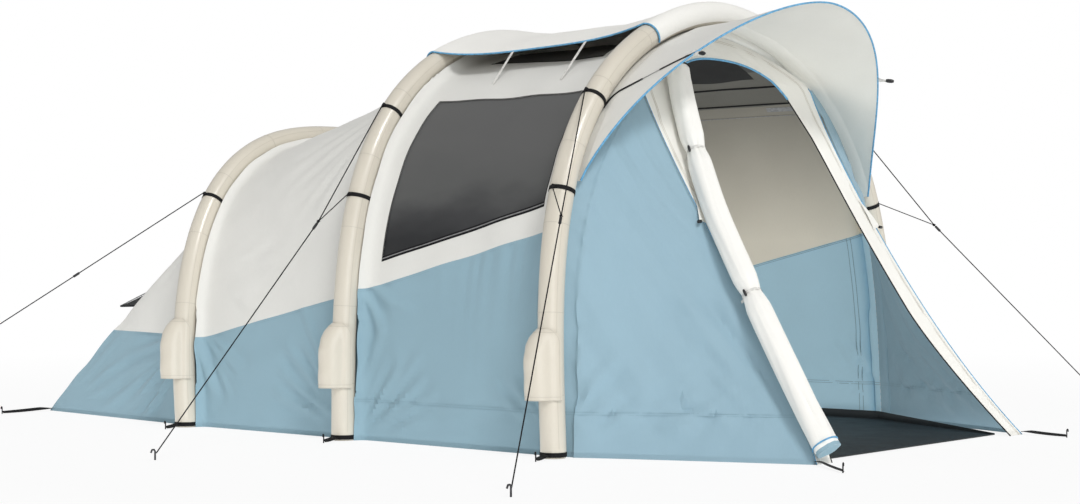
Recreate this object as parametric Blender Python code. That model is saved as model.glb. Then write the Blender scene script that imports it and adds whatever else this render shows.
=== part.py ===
"""Inflatable tunnel tent with three air beams.

Two tall beams and one low beam carry a flysheet. The front leans out to a D-shaped
doorway whose door is rolled up on the left, under a visor. The tent has a side window,
a mesh roof vent under its own cover, a hooded rear vent, a tray groundsheet, inflation
valves under hoods, and guy lines with runners and pegs.

X runs across the tent, the door looks towards -Y and +Z is up. The origin is on the
ground at the centre of the footprint. Sizes are in metres and angles in degrees.
"""

import math

import bmesh
import bpy
import numpy as np
from mathutils import Vector

# Air beams, measured along the middle of the tube
BEAM_RADIUS = 0.056
FRONT_HALF_WIDTH = 1.400
FRONT_HEIGHT = 2.012
FRONT_TILT = 2.46
MIDDLE_HALF_WIDTH = 1.377
MIDDLE_HEIGHT = 1.968
REAR_HALF_WIDTH = 1.366
REAR_HEIGHT = 1.534
REAR_TILT = 6.28
FRONT_POWERS = (1.80, 3.36)
MIDDLE_POWERS = (2.24, 3.33)
REAR_POWERS = (3.20, 2.32)
FOOT_LENGTH = 0.04
BEAM_RINGS = 40
BEND_SHARE = 0.55
BEAM_SIDES_LEVEL = 4

# Distances along the tent
FRONT_BAY = 1.288
REAR_BAY = 1.144
FRONT_REACH = 1.000
REAR_REACH = 1.447
FRONT_CORNER_X = 0.929
REAR_CORNER_X = 1.148

# Fabric
SKIN = 0.003
GAP = 0.0005
JOIN_GAP = 0.00045
FLY_SAG = 0.022
REAR_WALL_SAG = 0.020
CREASE_RISE = 0.025
CREASE_WIDTH = 0.06
SEAM_FRONT_Z = 0.990
SEAM_MIDDLE_Z = 0.685
SEAM_REAR_Z = 0.430
SEAM_BACK_Z = 0.460
CREASE_Z = 1.06

# Leaning front with its doorway
NECK_X = 0.738
NECK_Z = 1.35
FRAME_FLARE = 1.25
FRONT_BOW = 1.18
TOP_LEAN = 0.55
DOOR_TOP_DROP = 0.209
DOOR_BASE_X = 0.810
DOOR_WAIST_X = 0.615
DOOR_WAIST_Z = 0.60
DOOR_POWERS = (2.4, 5.0)
DOOR_FLARE = 1.5
TIP_MARGIN = 0.03
FRAME_SPLIT_DROP = 0.353

# Door rolled up beside the doorway
ROLL_RADIUS = 0.056
ROLL_STANDOFF = 0.010
ROLL_TIE_RADIUS = 0.006
ROLL_TIE_GAP = 0.0012
ROLL_TIES = (0.655, 1.290)
ROLL_BOTTOM = (0.898, 0.045)
ROLL_MIDDLE = (0.727, 1.000)
ROLL_TOP_X = 0.508
ROLL_TOP_DROP = 0.113
ROLL_PINCH = 0.72

# Visor
VISOR_REACH = 0.590
VISOR_HALF_WIDTH = 1.250
VISOR_RISE = 0.070
VISOR_LOW_Z = 1.175
VISOR_TAB_X = 0.780
VISOR_TAB = (0.050, 0.026, 0.003)
VISOR_TOGGLE = (0.040, 0.016, 0.014)

# Side window
WINDOW_FRONT_Z = 1.107
WINDOW_MIDDLE_Z = 0.792
WINDOW_FRONT_TOP_DROP = 0.405
WINDOW_MIDDLE_TOP_DROP = 0.361
WINDOW_START = 0.12
WINDOW_END = 0.86
WINDOW_LAP = 0.010

# Roof vent and its cover
VENT_FRONT_DROP = 0.217
VENT_MIDDLE_DROP = 0.153
VENT_START = 0.23
VENT_END = 0.82
COVER_FRONT_X = 0.630
COVER_MIDDLE_X = 0.738
COVER_WAIST = 0.004
COVER_SAG = 0.056
COVER_SAG_POWER = 3
COVER_SEAT = 0.004
COVER_WRAPS = (125.0, 75.0)
COVER_STRAP_FRONT_DROP = 0.284
COVER_STRAP_MIDDLE_DROP = 0.240
COVER_STRAP_RUNS = (0.27, 0.615)
COVER_STRAP_WIDTH = 0.017
COVER_STRAP_LEAN = 0.05

# Rear vent hood, on a straight hinge across the rear wall
HOOD_HALF_WIDTH = 0.880
HOOD_SEAM_Z = 0.700
HOOD_LENGTH = 0.370
HOOD_SLOPE = 18.3
HOOD_SHEET = 0.004
HOOD_ROD_RADIUS = 0.007
HOOD_STANDOFF = 0.0037

# Groundsheet tray
TRAY_HEIGHT = 0.040
TRAY_LIP = 0.008
TRAY_SHEET = 0.003
TRAY_CLEARANCE = 0.0157
TRAY_FRONT_SETBACK = 0.075

# Inflation valves on the near side and their hoods
VALVE_Z = 0.400
VALVE_TURN = 30.0
VALVE_RADIUS = 0.024
VALVE_STANDS = 0.006
CAP_RADIUS = 0.021
CAP_THICKNESS = 0.009
CAP_GRIP = 0.007
FLAP_TOP_Z = 0.545
FLAP_BOTTOM_Z = 0.245
FLAP_BULGE = 0.066
FLAP_SHEET = 0.004
FLAP_HALF_ANGLE = 78.0
FLAP_TOP_ANGLE = 54.0
FLAP_SHOULDER_Z = 0.020
FLAP_SEAT = 0.0006

# Webbing rings, straps and pegs
WEBBING = 0.0025
RING_WIDTH = 0.019
LOWER_RING_Z = 1.130
UPPER_RING_Z = 1.540
REAR_RING_Z = 1.150
RING_LUG = 0.012
RING_SIDES = 16
RING_MARGIN = 0.004
FOOT_RING_Z = 0.016
FOOT_RING_WIDTH = 0.020
FOOT_RING_EXTRA = 0.0002
FOOT_TAB = 0.125
FOOT_TAB_TURN = 15.0
STRAP_WIDTH = 0.020
CORNER_STRAP = 0.250
CORNER_STRAP_OUT = {"left": 0.205, "right": -0.030}
REAR_CORNER_STRAP = 0.330
HEM_CLEARANCE = 0.004
STRAP_LOW = 0.001
STRAP_HIGH = 0.012
STAKE_WIDTH = 0.012
STAKE_HEIGHT = 0.042
STAKE_HOOK = 0.016

# Guy lines: pegs and knots as distance from the centre line, distance behind the
# beam's foot, and height
GUY_RADIUS = 0.0020
BRANCH_RADIUS = 0.0016
FRONT_PEG = (2.549, -0.758)
MIDDLE_PEG = (2.532, -0.069)
REAR_PEG = (2.405, 1.388)
FRONT_KNOTS = {"left": (1.630, -0.232, 1.013), "right": (1.575, -0.185, 1.030)}
MIDDLE_KNOT = (1.583, -0.049, 1.013)
REAR_RUNNER_SHARE = 0.35
RUNNER_RADIUS = 0.0065
RUNNER_BORE = 0.0030
RUNNER_LENGTH = 0.035
RUNNER_BELOW_KNOT = 0.012
PEG_RADIUS = 0.004
PEG_HEIGHT = 0.045
PEG_HOOK = 0.022
ROPE_ON_PEG_Z = 0.022

# Colours and surfaces: red, green, blue, roughness
GREY_FABRIC = (0.68, 0.67, 0.64, 0.75)
BLUE_FABRIC = (0.33, 0.50, 0.61, 0.70)
WHITE_FABRIC = (0.82, 0.81, 0.77, 0.70)
CREAM_TUBE = (0.75, 0.69, 0.58, 0.35)
DARK_FOIL = (0.06, 0.065, 0.07, 0.25)
DARK_MESH = (0.03, 0.03, 0.03, 0.85)
NAVY_SHEET = (0.008, 0.014, 0.020, 0.55)
BLACK_WEBBING = (0.012, 0.012, 0.013, 0.80)
BLACK_PLASTIC = (0.015, 0.015, 0.016, 0.45)
STEEL = (0.10, 0.10, 0.11, 0.40)

# Heights and layers worked out from the driving dimensions
DOOR_HEIGHT = FRONT_HEIGHT - DOOR_TOP_DROP
FRAME_SPLIT_Z = DOOR_HEIGHT - FRAME_SPLIT_DROP
ROLL_TOP = (ROLL_TOP_X, DOOR_HEIGHT - ROLL_TOP_DROP)
WINDOW_TOP = (FRONT_HEIGHT - WINDOW_FRONT_TOP_DROP, MIDDLE_HEIGHT - WINDOW_MIDDLE_TOP_DROP)
VENT_SIDE = (FRONT_HEIGHT - VENT_FRONT_DROP, MIDDLE_HEIGHT - VENT_MIDDLE_DROP)
COVER_STRAP_FOOT = (FRONT_HEIGHT - COVER_STRAP_FRONT_DROP, MIDDLE_HEIGHT - COVER_STRAP_MIDDLE_DROP)
RING_INNER = BEAM_RADIUS + GAP
RING_OUTER = RING_INNER + WEBBING
FLY_INSET = RING_OUTER + GAP
UNDER_FLY = FLY_INSET + SKIN + GAP
COVER_RADIUS = BEAM_RADIUS + COVER_SEAT + SKIN
FRONT_LIMIT = FRONT_REACH + CORNER_STRAP
REAR_LIMIT = FRONT_BAY + REAR_BAY + REAR_REACH
FRONT_Y = (FRONT_LIMIT - REAR_LIMIT) / 2
MIDDLE_Y = FRONT_Y + FRONT_BAY
REAR_Y = MIDDLE_Y + REAR_BAY
BACK_Y = REAR_Y + REAR_REACH
SIDES = (("left", -1), ("right", 1))

MATERIALS = {}


def material(name, finish, metallic=0.0):
    """One Principled material per finish, made once."""
    if name not in MATERIALS:
        made = bpy.data.materials.new(name)
        made.use_nodes = True
        shader = made.node_tree.nodes["Principled BSDF"]
        shader.inputs["Base Color"].default_value = (*finish[:3], 1.0)
        shader.inputs["Roughness"].default_value = finish[3]
        shader.inputs["Metallic"].default_value = metallic
        made.diffuse_color = (*finish[:3], 1.0)
        MATERIALS[name] = made
    return MATERIALS[name]


def clear_scene():
    for item in list(bpy.data.objects):
        bpy.data.objects.remove(item, do_unlink=True)


def add_object(name, data, *finishes):
    made = bpy.data.objects.new(name, data)
    bpy.context.scene.collection.objects.link(made)
    for finish in finishes:
        data.materials.append(finish)
    return made


def add_mesh(name, points, faces, finishes, face_finish=None, origin=(0, 0, 0)):
    """A closed mesh with its faces turned outward and its origin where it is asked for."""
    mesh = bpy.data.meshes.new(name)
    origin = np.array(origin, float)
    mesh.from_pydata([tuple(point) for point in np.asarray(points) - origin], [], faces)
    if face_finish is not None:
        mesh.polygons.foreach_set("material_index", face_finish)
    shaped = bmesh.new()
    shaped.from_mesh(mesh)
    bmesh.ops.recalc_face_normals(shaped, faces=shaped.faces[:])
    shaped.to_mesh(mesh)
    shaped.free()
    mesh.shade_smooth()
    mesh.set_sharp_from_angle(angle=math.radians(40))
    made = add_object(name, mesh, *finishes)
    made.location = origin
    return made


def unit(vector):
    vector = np.asarray(vector, float)
    return vector / np.linalg.norm(vector)


def mirrored(point, side):
    """A point given for the +X side, put on the side asked for."""
    return np.array([point[0] * side, point[1], point[2]], float)


class Arch:
    """A beam's middle line: a superellipse in a leaning plane, with upright feet."""

    SAMPLES = 1441

    def __init__(self, y, half_width, height, powers, tilt, ring_heights):
        self.y = y
        self.slope = math.tan(math.radians(tilt))
        turn = np.linspace(0, math.pi, self.SAMPLES)
        cosine, sine = np.cos(turn), np.abs(np.sin(turn))
        x = -half_width * np.sign(cosine) * np.abs(cosine) ** (2 / powers[0])
        z = height * sine ** (2 / powers[1])
        x[0], x[-1] = -half_width, half_width
        z[0] = z[-1] = 0.0
        length = np.r_[0, np.cumsum(np.hypot(np.diff(x), np.diff(z)))]
        even = np.linspace(0, length[-1], self.SAMPLES)
        self.length = length[-1]
        self.share = even / length[-1]
        self.x = np.interp(even, length, x)
        self.z = np.interp(even, length, z)
        run, rise = np.gradient(self.x), np.gradient(self.z)
        size = np.hypot(run, rise)
        self.in_x, self.in_z = rise / size, -run / size
        self.in_z[0] = self.in_z[-1] = 0.0
        self.rings = [self.share_at(height) for height in ring_heights]
        self.path = self.path_shares(np.unwrap(np.arctan2(rise, run)))

    def path_shares(self, heading):
        """Shares of the tube's bends, closer together where it curves, none inside a ring."""
        bend = np.r_[0, np.cumsum(np.abs(np.diff(heading)))]
        self.progress = bend / bend[-1] * BEND_SHARE + self.share * (1 - BEND_SHARE)
        foot = FOOT_LENGTH / self.length
        even = [foot, *self.spread(foot, 1 - foot, BEAM_RINGS - 1)]
        half = (RING_WIDTH / 2 + RING_MARGIN) / self.length
        rings = [*self.rings, *(1 - share for share in self.rings)]
        kept = [share for share in even if all(abs(share - ring) > 1.4 * half for ring in rings)]
        kept += [ring + side * half for ring in rings for side in (-1, 1)]
        return np.array(sorted([0.0, *kept, 1.0]))

    def spread(self, low, high, count):
        """Shares after low up to high, closer together where the beam curves."""
        start, end = np.interp([low, high], self.share, self.progress)
        steps = start + (end - start) * np.arange(1, count + 1) / count
        return [float(share) for share in np.interp(steps, self.progress, self.share)]

    def y_at(self, z):
        return self.y + self.slope * np.maximum(0, np.asarray(z) - FOOT_LENGTH)

    def points(self, shares, inset=0.0):
        """Points at shares of the beam's length, moved inward by inset."""
        x = np.interp(shares, self.share, self.x + inset * self.in_x)
        z = np.interp(shares, self.share, self.z + inset * self.in_z)
        return np.stack([x, self.y_at(z), z], -1)

    def share_at(self, z, inset=0.0):
        """Share of the left side's length where the line, moved inward, is at height z."""
        half = self.SAMPLES // 2 + 1
        return float(np.interp(z, (self.z + inset * self.in_z)[:half], self.share[:half]))

    def frame(self, share):
        """Middle of the tube at a share, its direction, and the outward direction."""
        after = int(np.clip(np.searchsorted(self.path, share), 1, len(self.path) - 1))
        low, high = self.path[after - 1], self.path[after]
        start, end = self.points(low), self.points(high)
        middle = start + (end - start) * (share - low) / (high - low)
        along = unit(end - start)
        out = middle - self.points(share, 0.2)
        out = unit(out - along * out.dot(along))
        return middle, along, out


TALL_RINGS = (UPPER_RING_Z, LOWER_RING_Z)
FRONT = Arch(FRONT_Y, FRONT_HALF_WIDTH, FRONT_HEIGHT, FRONT_POWERS, FRONT_TILT, TALL_RINGS)
MIDDLE = Arch(MIDDLE_Y, MIDDLE_HALF_WIDTH, MIDDLE_HEIGHT, MIDDLE_POWERS, 0.0, TALL_RINGS)
REAR = Arch(REAR_Y, REAR_HALF_WIDTH, REAR_HEIGHT, REAR_POWERS, REAR_TILT, (REAR_RING_Z,))
BEAMS = {"front": FRONT, "middle": MIDDLE, "rear": REAR}


def grid_normals(grid):
    """Unit normals of a grid of points."""
    down = np.gradient(grid, axis=0)
    along = np.gradient(grid, axis=1)
    normal = np.cross(down, along)
    return normal / np.linalg.norm(normal, axis=-1, keepdims=True)


def double_faces(index, points, count):
    """Two triangles for a cell and two for its other side, split along the same diagonal."""
    a, b, c, d = index
    if np.linalg.norm(points[a] - points[c]) > np.linalg.norm(points[b] - points[d]):
        a, b, c, d = b, c, d, a
    near = [[a, b, c], [a, c, d]]
    return near + [[k + count for k in reversed(face)] for face in near]


def add_shell(name, grid, thickness, finishes, inside, skipped=(), lower=(), joins=()):
    """A sheet of even thickness through a grid, thickened towards the point inside.

    skipped holds the cells left open, lower the cells that take the second finish and
    joins the columns that end square at a beam.
    """
    rows, columns = grid.shape[:2]
    normal = grid_normals(grid)
    towards = np.asarray(inside, float) - grid
    normal *= np.sign((normal * towards).sum(-1).mean())
    for column in joins:
        normal[:, column, 1] = 0.0
    normal[grid[..., 2] < GAP, 2] = 0.0
    lost = np.linalg.norm(normal, axis=-1) < 0.5
    normal[lost] = -np.sign(grid[lost]) * [1, 0, 0]
    normal /= np.linalg.norm(normal, axis=-1, keepdims=True)
    points = np.concatenate([grid.reshape(-1, 3), (grid + normal * thickness).reshape(-1, 3)])
    count = rows * columns
    present = {(i, j) for i in range(rows - 1) for j in range(columns - 1)} - set(skipped)
    faces, finish = [], []
    for i, j in sorted(present):
        corners = [(i, j), (i + 1, j), (i + 1, j + 1), (i, j + 1)]
        index = [a * columns + b for a, b in corners]
        tone = int((i, j) in lower)
        faces += double_faces(index, points, count)
        finish += [tone] * 4
        beyond = [(i, j - 1), (i + 1, j), (i, j + 1), (i - 1, j)]
        for edge, neighbour in enumerate(beyond):
            if neighbour not in present:
                a, b = index[edge], index[(edge + 1) % 4]
                faces.append([b, a, a + count, b + count])
                finish.append(tone)
    used = sorted({k for face in faces for k in face})
    place = {k: n for n, k in enumerate(used)}
    faces = [[place[k] for k in face] for face in faces]
    return add_mesh(name, points[used], faces, finishes, finish)


def add_curve_tube(name, points, radius, finish, level):
    """A round tube with closed ends along a list of points."""
    curve = bpy.data.curves.new(name, "CURVE")
    curve.dimensions = "3D"
    curve.bevel_depth = radius
    curve.bevel_resolution = level
    curve.use_fill_caps = True
    line = curve.splines.new("POLY")
    line.points.add(len(points) - 1)
    for target, point in zip(line.points, points):
        target.co = (*point, 1.0)
    line.use_smooth = True
    return add_object(name, curve, finish)


def meshed(made):
    """The same object with its curve turned into a mesh."""
    bpy.context.view_layer.update()
    depsgraph = bpy.context.evaluated_depsgraph_get()
    mesh = bpy.data.meshes.new_from_object(made.evaluated_get(depsgraph))
    name = made.name
    bpy.data.objects.remove(made, do_unlink=True)
    mesh.name = name
    mesh.shade_smooth()
    mesh.set_sharp_from_angle(angle=math.radians(40))
    copy = bpy.data.objects.new(name, mesh)
    bpy.context.scene.collection.objects.link(copy)
    return copy


def unite(body, tool):
    """Join a helper shape to a body with an exact union."""
    tool.hide_render = True
    tool.display_type = "WIRE"
    joined = body.modifiers.new("union", "BOOLEAN")
    joined.operation = "UNION"
    joined.solver = "EXACT"
    joined.object = tool


def ring_loop(middle, across_a, across_b, radii, start=0.0):
    """Points round a centre, one for each radius."""
    count = len(radii)
    turn = np.array([start + 2 * math.pi * k / count for k in range(count)])
    radii = np.asarray(radii, float)[:, None]
    return middle + radii * (np.cos(turn)[:, None] * across_a + np.sin(turn)[:, None] * across_b)


def tube_faces(count, rings):
    """Faces of a closed tube whose rings follow one another."""
    faces = [list(range(count)), list(range((rings - 1) * count, rings * count))]
    for ring in range(rings - 1):
        for k in range(count):
            n = (k + 1) % count
            low, high = ring * count, (ring + 1) * count
            faces.append([low + k, low + n, high + n, high + k])
    return faces


def sleeve_mesh(middle, axis, across, outer_radii, inner_radius, length):
    """Points and faces of a short open tube, with its first pair of points across."""
    axis = unit(axis)
    across = unit(across - axis * np.dot(across, axis))
    side = np.cross(axis, across)
    count = len(outer_radii)
    start = -math.pi / count
    loops = []
    for end in (-0.5, 0.5):
        for radii in (outer_radii, [inner_radius] * count):
            loops.append(ring_loop(middle + axis * length * end, across, side, radii, start))
    faces = []
    for k in range(count):
        n = (k + 1) % count
        low_out, low_in, high_out, high_in = (k + count * q for q in range(4))
        low_out_n, low_in_n, high_out_n, high_in_n = (n + count * q for q in range(4))
        faces.append([low_out, low_out_n, high_out_n, high_out])
        faces.append([low_in, high_in, high_in_n, low_in_n])
        faces.append([low_out, low_in, low_in_n, low_out_n])
        faces.append([high_out, high_out_n, high_in_n, high_in])
    return np.concatenate(loops), faces


def chain_faces(first, loops):
    """Side and end faces of a run of four-cornered loops that starts after index first."""
    faces = []
    for k in range(loops - 1):
        for a in range(4):
            b = (a + 1) % 4
            low, high = first + 4 * k, first + 4 * (k + 1)
            faces.append([low + a, low + b, high + b, high + a])
    last = first + 4 * (loops - 1)
    faces.append([last, last + 1, last + 2, last + 3])
    return faces


def strap_loops(start, direction, length, attach_z):
    """Loops of a flat strap that runs out along the ground to a stake with a hook."""
    direction = unit(direction)
    side = np.array([-direction[1], direction[0], 0.0])
    half, thin = STRAP_WIDTH / 2, STAKE_WIDTH / 2
    stake = length - STAKE_WIDTH
    low = 0.001
    sections = [
        (0.020, half, attach_z, attach_z + WEBBING),
        (stake * 0.5, half, low + 0.004, low + 0.004 + WEBBING),
        (stake - 0.002, half * 0.7, low, low + WEBBING),
        (stake, thin, 0.0, STAKE_HEIGHT),
        (stake + STAKE_WIDTH * 0.6, thin, 0.0, STAKE_HEIGHT),
        (stake + STAKE_WIDTH * 0.61, thin, STAKE_HEIGHT - STAKE_HOOK * 0.5, STAKE_HEIGHT),
        (length, thin, STAKE_HEIGHT - STAKE_HOOK, STAKE_HEIGHT - 0.002),
    ]
    loops = []
    for distance, width, bottom, top in sections:
        middle = np.asarray(start, float) + direction * distance
        for sign, z in ((-1, bottom), (1, bottom), (1, top), (-1, top)):
            loops.append([*(middle + side * sign * width)[:2], z])
    return np.array(loops), len(sections)


def make_beams():
    """Three air beams, each with its inflation valve's base on the left foot."""
    finish = material("beam_cream", CREAM_TUBE)
    for name, arch in BEAMS.items():
        path = arch.points(arch.path)
        path[0][:2] = path[1][:2]
        path[-1][:2] = path[-2][:2]
        tube = meshed(add_curve_tube(f"{name}_beam", path, BEAM_RADIUS, finish, BEAM_SIDES_LEVEL))
        middle, _, _ = arch.frame(arch.share_at(VALVE_Z))
        out = valve_direction()
        reach = BEAM_RADIUS + VALVE_STANDS
        sides = np.array([-out[1], out[0], 0.0])
        points = np.concatenate([
            ring_loop(middle + out * depth, sides, np.array([0.0, 0.0, 1.0]), [VALVE_RADIUS] * 16)
            for depth in (BEAM_RADIUS * 0.4, reach)
        ])
        faces = [[k, (k + 1) % 16, 16 + (k + 1) % 16, 16 + k] for k in range(16)]
        faces += [list(range(16)), list(range(16, 32))]
        unite(tube, add_mesh(f"{name}_valve_base", points, faces, [finish]))


def valve_direction():
    turn = math.radians(VALVE_TURN)
    return np.array([-math.cos(turn), math.sin(turn), 0.0])


def make_valve_caps():
    """A turn cap with a grip bar on each valve, with its origin on the valve's axis."""
    finish = material("valve_black", BLACK_PLASTIC)
    out = valve_direction()
    side = np.array([-out[1], out[0], 0.0])
    up = np.array([0.0, 0.0, 1.0])
    count = 16
    for name, arch in BEAMS.items():
        middle, _, _ = arch.frame(arch.share_at(VALVE_Z))
        seat = middle + out * (BEAM_RADIUS + VALVE_STANDS + GAP)
        face = seat + out * CAP_THICKNESS
        loops = [ring_loop(seat, side, up, [CAP_RADIUS] * count)]
        loops.append(ring_loop(face, side, up, [CAP_RADIUS] * count))
        grip = CAP_RADIUS * 0.75
        for depth in (0.0, CAP_GRIP):
            loops.append(ring_loop(face + out * depth, side * 0.25, up, [grip] * count))
        faces = tube_faces(count, len(loops))
        add_mesh(f"{name}_valve_cap", np.concatenate(loops), faces, [finish], origin=seat)


def flap_hinge(arch):
    """Middle of a valve hood's hinge line and the line's direction."""
    middle, _, _ = arch.frame(arch.share_at(FLAP_TOP_Z))
    out = valve_direction()
    point = middle + out * (BEAM_RADIUS + FLAP_SEAT + FLAP_SHEET / 2)
    return point, np.cross(out, [0.0, 0.0, 1.0])


def make_valve_hoods():
    """Fabric hoods that wrap the beam over each valve, open below, hinged at the top."""
    finish = material("hood_cream", CREAM_TUBE)
    out = valve_direction()
    side = np.array([-out[1], out[0], 0.0])
    levels = ((0.0, 0.0), (0.03, 0.17), (0.06, 0.35), (0.16, 0.75), (0.34, 0.98), (0.65, 1.0), (1.0, 0.97))
    for name, arch in BEAMS.items():
        outer = []
        for share, bulge in levels:
            z = FLAP_TOP_Z + (FLAP_BOTTOM_Z - FLAP_TOP_Z) * share
            shoulder = min(1, (FLAP_TOP_Z - z) / FLAP_SHOULDER_Z)
            half_angle = math.radians(FLAP_TOP_ANGLE + (FLAP_HALF_ANGLE - FLAP_TOP_ANGLE) * shoulder)
            turns = np.linspace(-half_angle, half_angle, 9)
            middle, along, _ = arch.frame(arch.share_at(z))
            spokes = [math.cos(turn) * out + math.sin(turn) * side for turn in turns]
            slices = [BEAM_RADIUS / math.sqrt(1 - spoke.dot(along) ** 2) for spoke in spokes]
            across = np.cos(turns / half_angle * math.pi / 2) ** 2
            radius = np.array(slices) + FLAP_SEAT + FLAP_SHEET + FLAP_BULGE * bulge * across
            row = [middle + r * spoke for r, spoke in zip(radius, spokes)]
            outer.append([[point[0], point[1], z] for point in row])
        outer = np.array(outer)
        axis = np.array([[arch.frame(arch.share_at(row[0][2]))[0]] * len(turns) for row in outer])
        axis[..., 2] = outer[..., 2]
        spoke = outer - axis
        inner = outer - spoke / np.linalg.norm(spoke, axis=-1, keepdims=True) * FLAP_SHEET
        hinge, _ = flap_hinge(arch)
        closed_pair(f"{name}_valve_hood", outer, inner, [finish], hinge)


def closed_pair(name, outer, inner, finishes, origin=(0, 0, 0)):
    """A sheet between two matching grids of points."""
    rows, columns = outer.shape[:2]
    count = rows * columns
    points = np.concatenate([outer.reshape(-1, 3), inner.reshape(-1, 3)])
    faces = []
    for i in range(rows - 1):
        for j in range(columns - 1):
            a = i * columns + j
            index = [a, a + columns, a + columns + 1, a + 1]
            faces += double_faces(index, points, count)
    rim = [j for j in range(columns)]
    rim += [i * columns + columns - 1 for i in range(1, rows)]
    rim += [(rows - 1) * columns + j for j in range(columns - 2, -1, -1)]
    rim += [i * columns for i in range(rows - 2, 0, -1)]
    for a, b in zip(rim, rim[1:] + rim[:1]):
        faces.append([a, b, b + count, a + count])
    return add_mesh(name, points, faces, finishes, origin=origin)


def bay_grid(first, second, rows, columns, inset=FLY_INSET):
    """Outer face of the fly between two beams.

    rows holds pairs of shares, one on each beam, and columns the shares of the bay.
    """
    a = first.points([row[0] for row in rows], inset)
    b = second.points([row[1] for row in rows], inset)
    across = np.array(columns)[None, :, None]
    start = a[:, None] + [0, JOIN_GAP, 0]
    end = b[:, None] - [0, JOIN_GAP, 0]
    grid = start * (1 - across) + end * across
    height = np.minimum(1, grid[..., 2:3] / SEAM_FRONT_Z)
    sag = FLY_SAG * 4 * across * (1 - across) * height
    centre = np.array([0.0, 0.0, SEAM_FRONT_Z])
    pull = centre - grid * [1, 0, 1]
    pull /= np.linalg.norm(pull, axis=-1, keepdims=True)
    return grid + pull * sag


def both_halves(rows):
    """Rows from the left foot to the ridge, mirrored down to the right foot."""
    return list(rows) + [(1 - a, 1 - b) for a, b in reversed(rows[:-1])]


def between(first, second, low, high, count):
    """Rows after the row low up to the row high, spread along both beams."""
    return list(zip(first.spread(low[0], high[0], count), second.spread(low[1], high[1], count)))


def front_bay_rows():
    seam = (FRONT.share_at(SEAM_FRONT_Z, FLY_INSET), MIDDLE.share_at(SEAM_MIDDLE_Z, FLY_INSET))
    sill = (FRONT.share_at(WINDOW_FRONT_Z, FLY_INSET), MIDDLE.share_at(WINDOW_MIDDLE_Z, FLY_INSET))
    head = (FRONT.share_at(WINDOW_TOP[0], FLY_INSET), MIDDLE.share_at(WINDOW_TOP[1], FLY_INSET))
    vent = (FRONT.share_at(VENT_SIDE[0], FLY_INSET), MIDDLE.share_at(VENT_SIDE[1], FLY_INSET))
    rows = [(0.0, 0.0)]
    marks = {}
    stops = (("seam", seam, 2), ("sill", sill, 1), ("head", head, 4), ("vent", vent, 2), ("ridge", RIDGE, 4))
    for name, stop, count in stops:
        rows += between(FRONT, MIDDLE, rows[-1], stop, count)
        marks[name] = len(rows) - 1
    return rows, marks


RIDGE = (0.5, 0.5)
FRONT_COLUMNS = (
    0.0, WINDOW_START, VENT_START, (VENT_START + VENT_END) / 2, VENT_END, WINDOW_END, 1.0,
)


def make_front_fly():
    """Fly between the two tall beams, with the window and roof vent cut out."""
    rows, marks = front_bay_rows()
    whole = both_halves(rows)
    grid = bay_grid(FRONT, MIDDLE, whole, FRONT_COLUMNS)
    last = len(whole) - 1
    window = [(i, j) for i in range(marks["sill"], marks["head"]) for j in range(1, 5)]
    vent = [(i, j) for i in range(marks["vent"], last - marks["vent"]) for j in (2, 3)]
    low = range(marks["seam"])
    lower = [(i, j) for i in [*low, *(last - 1 - k for k in low)] for j in range(len(FRONT_COLUMNS) - 1)]
    fabrics = [material("fly_grey", GREY_FABRIC), material("fly_blue", BLUE_FABRIC)]
    inside = (0, (FRONT_Y + MIDDLE_Y) / 2, SEAM_FRONT_Z)
    add_shell("front_fly", grid, SKIN, fabrics, inside, window + vent, lower, (0, -1))


def under_fly(rows, columns):
    """Points just under the front fly, at part rows and part columns of its grid."""
    whole = both_halves(front_bay_rows()[0])
    grid = bay_grid(FRONT, MIDDLE, whole, FRONT_COLUMNS, UNDER_FLY)
    down = np.array([[np.interp(columns, range(len(row)), row[:, k]) for k in range(3)] for row in grid])
    return np.array([
        [[np.interp(row, range(len(down)), down[:, k, j]) for k in range(3)] for j in range(len(columns))]
        for row in rows
    ])


def lapped(first, last, before, after):
    """Whole numbers from first to last, with a part step before and after."""
    return [first - before, *range(first, last + 1), last + after]


def panel_under(name, first_row, last_row, first_column, last_column, finish):
    """A thin panel behind an opening of the front fly, overlapping its edges."""
    rows, _ = front_bay_rows()
    whole = np.array(both_halves(rows))[:, 0] * FRONT.length
    spans = np.diff(whole)
    widths = np.diff(FRONT_COLUMNS) * FRONT_BAY
    down = lapped(first_row, last_row, WINDOW_LAP / spans[first_row - 1], WINDOW_LAP / spans[last_row])
    across = lapped(
        first_column, last_column,
        WINDOW_LAP / widths[first_column - 1], WINDOW_LAP / widths[last_column],
    )
    inside = (0, (FRONT_Y + MIDDLE_Y) / 2, SEAM_FRONT_Z)
    add_shell(name, under_fly(down, across), SKIN / 2, [finish], inside)


def make_panels():
    """Dark window pane on the left and the mesh across the ridge."""
    rows, marks = front_bay_rows()
    last = 2 * (len(rows) - 1)
    panel_under("side_window", marks["sill"], marks["head"], 1, 5, material("window_foil", DARK_FOIL))
    panel_under(
        "roof_vent_mesh", marks["vent"], last - marks["vent"], 2, 4, material("vent_mesh", DARK_MESH)
    )


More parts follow.
